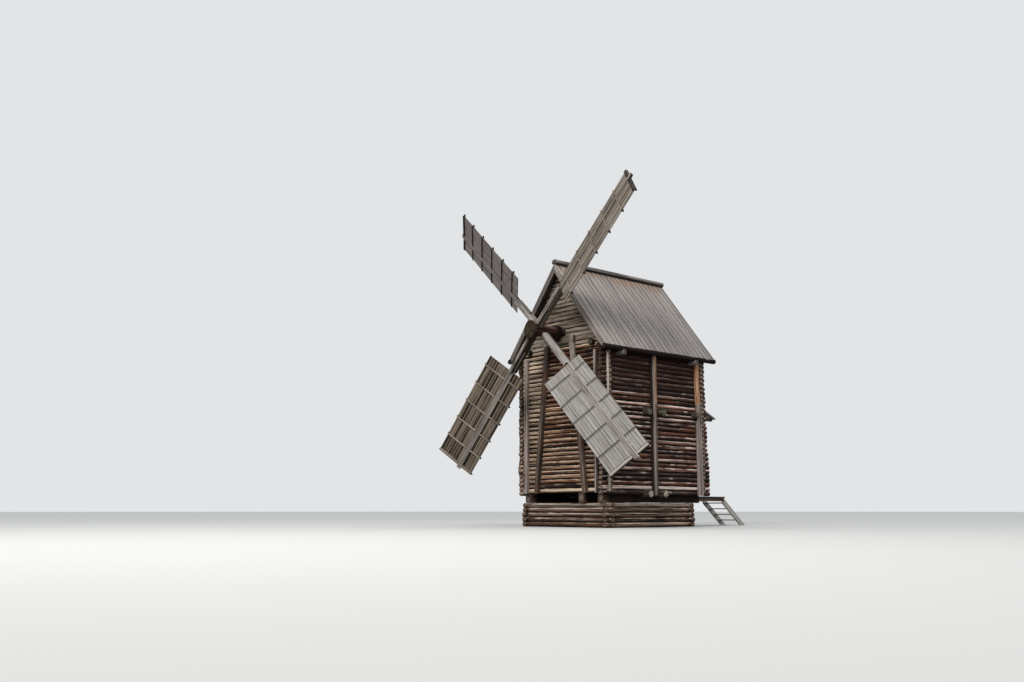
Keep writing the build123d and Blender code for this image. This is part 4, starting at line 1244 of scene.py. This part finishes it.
STRINGER_DEPTH = 0.2
STRINGER_THICKNESS = 0.055
stair_low, stair_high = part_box("stair_stringers")
fall = Vector((0, stair_high.y - stair_low.y, stair_low.z - stair_high.z)).normalized()
square_to_fall = Vector((0, -fall.z, fall.y))
stringers = []
for x in (stair_low.x + STRINGER_THICKNESS / 2, stair_high.x - STRINGER_THICKNESS / 2):
    top = Vector((x, stair_low.y, stair_high.z)) - square_to_fall * STRINGER_DEPTH / 2
    foot = Vector((x, stair_high.y, stair_low.z)) - square_to_fall * STRINGER_DEPTH / 2
    stringer = timber(board, top - fall * 0.3, foot + fall * 0.3, STRINGER_THICKNESS, STRINGER_DEPTH,
                      up=square_to_fall, tone=0.85, warm=0.2, wash=0.9)
    saw_off(stringer, (0, stair_low.y, 0), (0, -1, 0))
    saw_off(stringer, (0, 0, stair_low.z), (0, 0, -1))
    stringers.append(stringer)
make_piece("stair_stringer_planks", stringers, "edge_wood", "stair_stringers", slot="weathered_boards",
           bevel=0.004)

STAIR_RISES = 5
TREAD_DEPTH = 0.24
TREAD_THICKNESS = 0.04
tread_low, tread_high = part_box("stair_treads")
stair_slope = -fall.z / fall.y
treads = []
for number in range(1, STAIR_RISES):
    z = deck_high.z * (1 - number / STAIR_RISES) - TREAD_THICKNESS / 2
    y = stair_low.y + (deck_high.z * number / STAIR_RISES) / stair_slope - TREAD_DEPTH / 2
    treads.append(timber(board, (tread_low.x, y, z), (tread_high.x, y, z), TREAD_DEPTH, TREAD_THICKNESS,
                         tone=0.8 + jitter(0.1), warm=0.2, wash=0.8))
make_piece("stair_tread_planks", treads, "edge_wood", "stair_treads", slot="weathered_boards",
           rough=(0.0, 1, 0.005, 0.2), bevel=0.004)

# %% Hood
HOOD_THICKNESS = 0.04
HOOD_BOARDS = 8
HOOD_DROP = 0.73
HOOD_LENGTH = 1.66
BRACKET = 0.11
hood_low, hood_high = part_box("hood_roof")
hood_angle = math.atan2(HOOD_DROP, HOOD_LENGTH)
hood_fall = Vector((0, math.cos(hood_angle), -math.sin(hood_angle)))
hood_up = Vector((0, math.sin(hood_angle), math.cos(hood_angle)))
edges = board_edges(hood_low.x, hood_high.x, HOOD_BOARDS, 0.12)
hood_boards = []
for low, high in zip(edges, edges[1:]):
    top = Vector(((low + high) / 2, hood_low.y, hood_high.z)) - hood_up * HOOD_THICKNESS / 2
    length = (hood_high.y - hood_low.y) / math.cos(hood_angle) - rng.uniform(0, 0.02)
    hood_boards.append(timber(board, top + hood_fall * 0.018, top + hood_fall * length, high - low - 0.006,
                              HOOD_THICKNESS, up=hood_up, twist=jitter(0.02), tone=0.7 + jitter(0.2),
                              wash=0.4))
make_piece("hood_planks", hood_boards, "edge_wood", "hood_roof", slot="roof_boards",
           rough=(0.0, 1, 0.004, 0.2), bevel=0.003)

bracket_low, bracket_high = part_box("hood_brackets")
arm_z = bracket_low.z + BRACKET / 2
brackets = []
for x in (bracket_low.x + BRACKET / 2, bracket_high.x - BRACKET / 2):
    brackets.append(timber(short_beam, (x, bracket_low.y, arm_z), (x, bracket_high.y, arm_z), BRACKET,
                           BRACKET))
    top = Vector((x, hood_low.y, hood_high.z)) - hood_up * (HOOD_THICKNESS + BRACKET / 2)
    rafter = timber(beam, top - hood_fall * 0.1, top + hood_fall * 2, BRACKET, BRACKET - 0.01, up=hood_up)
    saw_off(rafter, (0, bracket_high.y, 0), (0, 1, 0))
    saw_off(rafter, (0, bracket_low.y, 0), (0, -1, 0))
    saw_off(rafter, (0, 0, bracket_low.z), (0, 0, -1))
    brackets.append(rafter)
make_piece("hood_bracket_timbers", brackets, "edge_wood", "hood_brackets")

# %% [markdown]
# The windshaft is a thick round trunk with a wider head in front and a collar near the wall.
# Each of its four parts is a log of its own size on one axis.

# %% Windshaft
shaft_low, shaft_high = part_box("windshaft")
# Start, end and radius of each part, then its tone, warmth and painted shade.
SHAFT_PARTS = (
    (shaft_low.y + 0.02, 1.34, SHAFT_RADIUS, 0.5, 0.7, 0.0),
    (shaft_low.y, shaft_low.y + 0.11, 0.325, 0.6, 0.1, 0.3),
    (-2.70, -2.51, 0.28, 0.1, 0.3, 0.85),
    (1.33, shaft_high.y, 0.1, 0.4, 0.2, 0.0),
)
shaft_parts = [timber(stout_log, (0, start, SHAFT_HEIGHT), (0, end, SHAFT_HEIGHT), 2 * radius, 2 * radius,
                      tone=tone, warm=warm, soot=soot)
               for start, end, radius, tone, warm, soot in SHAFT_PARTS]
make_piece("windshaft_trunk", shaft_parts, "shaft_wood", "windshaft", body="rotor", slot="shaft_wood",
           rough=(0.006, 0.7, 0.008, 0.1), bevel=0.012, segments=2)

# %% [markdown]
# Each sail has a frame of its own: out along the whip, across to the narrow side, and forward.
# Giving every timber of a sail in that frame keeps the four sails alike, whatever their angle and pitch.

# %% Sail frame
SAIL_ANGLES = (43.8, -46.2, -133.2, 136.3)
SAIL_PITCHES = (25.0, 25.1, 26.2, 29.2)
STOCK_LINES = (-3.561, -3.242)


def sail_frame(number, pitched=True):
    """Function that turns (out, across, forward) of a sail into a point, and the forward direction."""
    angle = math.radians(SAIL_ANGLES[number])
    pitch = math.radians(SAIL_PITCHES[number] if pitched else 0)
    out = Vector((math.cos(angle), 0, math.sin(angle)))
    forward = Vector((-math.sin(pitch) * math.sin(angle), -math.cos(pitch),
                      math.sin(pitch) * math.cos(angle)))
    across = forward.cross(out)
    origin = Vector((0, STOCK_LINES[number % 2], SHAFT_HEIGHT))

    def place(x, y, z):
        return origin + out * x + across * y + forward * z
    return place, forward


print("a sail's frame is ready")

# %% Stocks
STOCK_WIDTH = 0.16
STOCK_DEPTH = 0.30
STOCK_REACH = 1.9
STOCK_TONES = ((0.6, 0.4), (0.75, 0.1), (0.4, 0.3), (0.55, 0.3))
for name, pair in (("stock_front", (0, 2)), ("stock_rear", (1, 3))):
    arms = []
    for number in pair:
        place, forward = sail_frame(number, pitched=False)
        tone, warm = STOCK_TONES[number]
        arms.append(timber(beam, place(-0.05, 0, 0), place(STOCK_REACH, 0, 0), STOCK_WIDTH, STOCK_DEPTH,
                           up=forward, tone=tone, warm=warm))
    make_piece(name + "_timbers", arms, "stock_wood", name, body="rotor", slot="stock_timber",
               rough=(0.006, 0.8, 0.006, 0.12))

# %% Whips, bars, boards and battens
WHIP_START = 0.95
WHIP_TIP = 6.577
WHIP_MIDDLE = -0.036
WHIP_ROOT_WIDTH = 0.22
WHIP_TIP_WIDTH = 0.17
WHIP_THICKNESS = 0.12
SAIL_ROOT = 1.901
SAIL_TIP = 6.476
WIDE_EDGE = -1.072
NARROW_EDGE = 0.542
BAR_SIZE = 0.05
BAR_PAST = 0.04
BAR_COUNT = 6
BOARD_BACK = 0.005
BOARD_THICKNESS = 0.022
BATTEN_WIDTH = 0.045
TIP_BATTEN_WIDTH = 0.1
BATTEN_THICKNESS = 0.035
WIDE_BOARDS = 8
NARROW_BOARDS = 4
BAY = (SAIL_TIP - SAIL_ROOT) / (BAR_COUNT - 0.5)
bar_places = [min(SAIL_ROOT + (bar + 0.5) * BAY, SAIL_TIP - BAR_SIZE / 2) for bar in range(BAR_COUNT)]
# Finish of boards, battens, tip batten and whip, then tone, warmth, painted shadow beside the whip and where
# it ends.
SAIL_LOOKS = (
    ("pale_sail_wood", "dull_batten_wood", "bar_wood_with_painted_shade", "pale_sail_wood", 0.5, 0.4, 0.0, 0.05),
    ("sail_wood", "batten_wood_with_painted_shade", "tip_batten_wood", "grey_whip_wood", 0.6, 0.2, 0.0, 0.082),
    ("tan_sail_wood", "batten_wood", "batten_wood", "grey_whip_wood", 0.5, 0.4, 0.85, 0.05),
    ("brown_sail_wood", "bar_wood_with_painted_shade", "bar_wood_with_painted_shade", "brown_sail_wood", 0.5, 0.3, 0.0, 0.05),
)


def sail_boards(place, forward, tone, warm, shaded, beside_whip):
    """Short boards in each bay, with joints that differ a little from bay to bay; the first narrow board
    takes painted shadow from the whip.
    """
    pieces = []
    joints = [SAIL_ROOT] + bar_places[:-1] + [SAIL_TIP]
    wide = board_edges(WIDE_EDGE, -0.12, WIDE_BOARDS, 0.1)
    narrow = board_edges(beside_whip, NARROW_EDGE, NARROW_BOARDS, 0.1)
    depth = BOARD_BACK + BOARD_THICKNESS / 2
    for low, high in zip(joints, joints[1:]):
        for edges in (wide, narrow):
            shifted = [edges[0]] + [edge + jitter(0.012) for edge in edges[1:-1]] + [edges[-1]]
            for left, right in zip(shifted, shifted[1:]):
                middle = (left + right) / 2
                pieces.append(timber(short_board, place(low + 0.001, middle, depth),
                                     place(high - 0.001, middle, depth), right - left - 0.002,
                                     BOARD_THICKNESS + jitter(0.003), up=forward, twist=jitter(0.03),
                                     tone=clamp(tone + jitter(0.35)),
                                     warm=clamp(warm + jitter(0.3)),
                                     soot=shaded if left == narrow[0] else 0.0))
    return pieces


def sail_battens(places, width, place, forward, tone, warm):
    pieces = []
    depth = BOARD_BACK + BOARD_THICKNESS + BATTEN_THICKNESS / 2
    for x in places:
        for low, high in ((WIDE_EDGE, -0.14), (0.07, NARROW_EDGE)):
            pieces.append(timber(short_beam, place(x + jitter(0.01), low, depth),
                                 place(x + jitter(0.01), high, depth), width, BATTEN_THICKNESS, up=forward,
                                 tone=clamp(tone + jitter(0.2)), warm=warm))
    return pieces


for number, looks in enumerate(SAIL_LOOKS):
    board_finish, batten_finish, tip_finish, whip_finish, tone, warm, shaded, beside_whip = looks
    place, forward = sail_frame(number)
    hub = place(0, 0, 0)
    name = str(number + 1)
    whip = timber(plank, place(WHIP_START, WHIP_MIDDLE, 0), place(WHIP_TIP, WHIP_MIDDLE, 0), WHIP_ROOT_WIDTH,
                  WHIP_THICKNESS, up=forward, thin=WHIP_TIP_WIDTH / WHIP_ROOT_WIDTH, tone=tone, warm=0.0)
    make_piece("whip_timber_" + name, [whip], whip_finish, "whip_" + name, body="rotor", slot="stock_timber",
               rough=(0.006, 0.8, 0.005, 0.12),
               rule=lambda point: (0.0, 0.0, 0.9 * clamp((SAIL_ROOT - (point - hub).length) / 0.1)))
    bar_depth = BOARD_BACK - BAR_SIZE / 2
    bars = [timber(short_beam, place(x, WIDE_EDGE - BAR_PAST, bar_depth),
                   place(x, NARROW_EDGE + BAR_PAST, bar_depth), BAR_SIZE, BAR_SIZE, up=forward,
                   tone=0.4 + jitter(0.2), warm=0.3) for x in bar_places]
    make_piece("sail_bar_set_" + name, bars, "bar_wood_with_painted_shade", "sail_bars_" + name, body="rotor", slot="sail_bars")
    make_piece("sail_board_set_" + name, sail_boards(place, forward, tone, warm, shaded, beside_whip),
               board_finish, "sail_boards_" + name, body="rotor", slot="sail_boards",
               rough=(0.0, 1, 0.004, 0.15), bevel=0.002)
    tip_place = SAIL_TIP - TIP_BATTEN_WIDTH / 2 - 0.01
    for ending, places, width, finish in (("", bar_places[:-1], BATTEN_WIDTH, batten_finish),
                                          ("_tip", [tip_place], TIP_BATTEN_WIDTH, tip_finish)):
        battens = sail_battens(places, width, place, forward, tone, warm)
        make_piece("sail_batten_set_" + name + ending, battens, finish, body="rotor", slot="sail_boards")

# %% [markdown]
# A pale floor under the mill takes its shadow and isn't part of it. It looks pale to the camera alone: to the
# light that it throws back it is as dark as a meadow, so the undersides of the sails and logs stay dark.

# %% Floor
FLOOR_RADIUS = 300.0
FLOOR_DROP = 0.002
FLOOR_TO_CAMERA = srgb(206, 206, 204)
FLOOR_TO_LIGHT = (0.17, 0.17, 0.16, 1)
deselect_all()
bpy.ops.mesh.primitive_circle_add(vertices=96, radius=FLOOR_RADIUS, fill_type="NGON",
                                  location=(0, 0, -FLOOR_DROP))
floor = bpy.context.object
floor.name = "floor"
floor_finish = bpy.data.materials.new("floor_finish")
two_faces(empty_tree(floor_finish), "ShaderNodeBsdfDiffuse", "ShaderNodeOutputMaterial", FLOOR_TO_LIGHT,
          FLOOR_TO_CAMERA)
floor.data.materials.append(floor_finish)
floor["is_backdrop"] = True

# %% [markdown]
# The patterns have done their work and go, and the triangles of all shown pieces are counted.

# %% Finish
for pattern in patterns:
    bpy.data.objects.remove(pattern)
meshes = [obj.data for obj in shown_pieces() if obj.type == "MESH"]
triangles = sum(len(face.vertices) - 2 for mesh in meshes for face in mesh.polygons)
print("triangles in all", triangles)
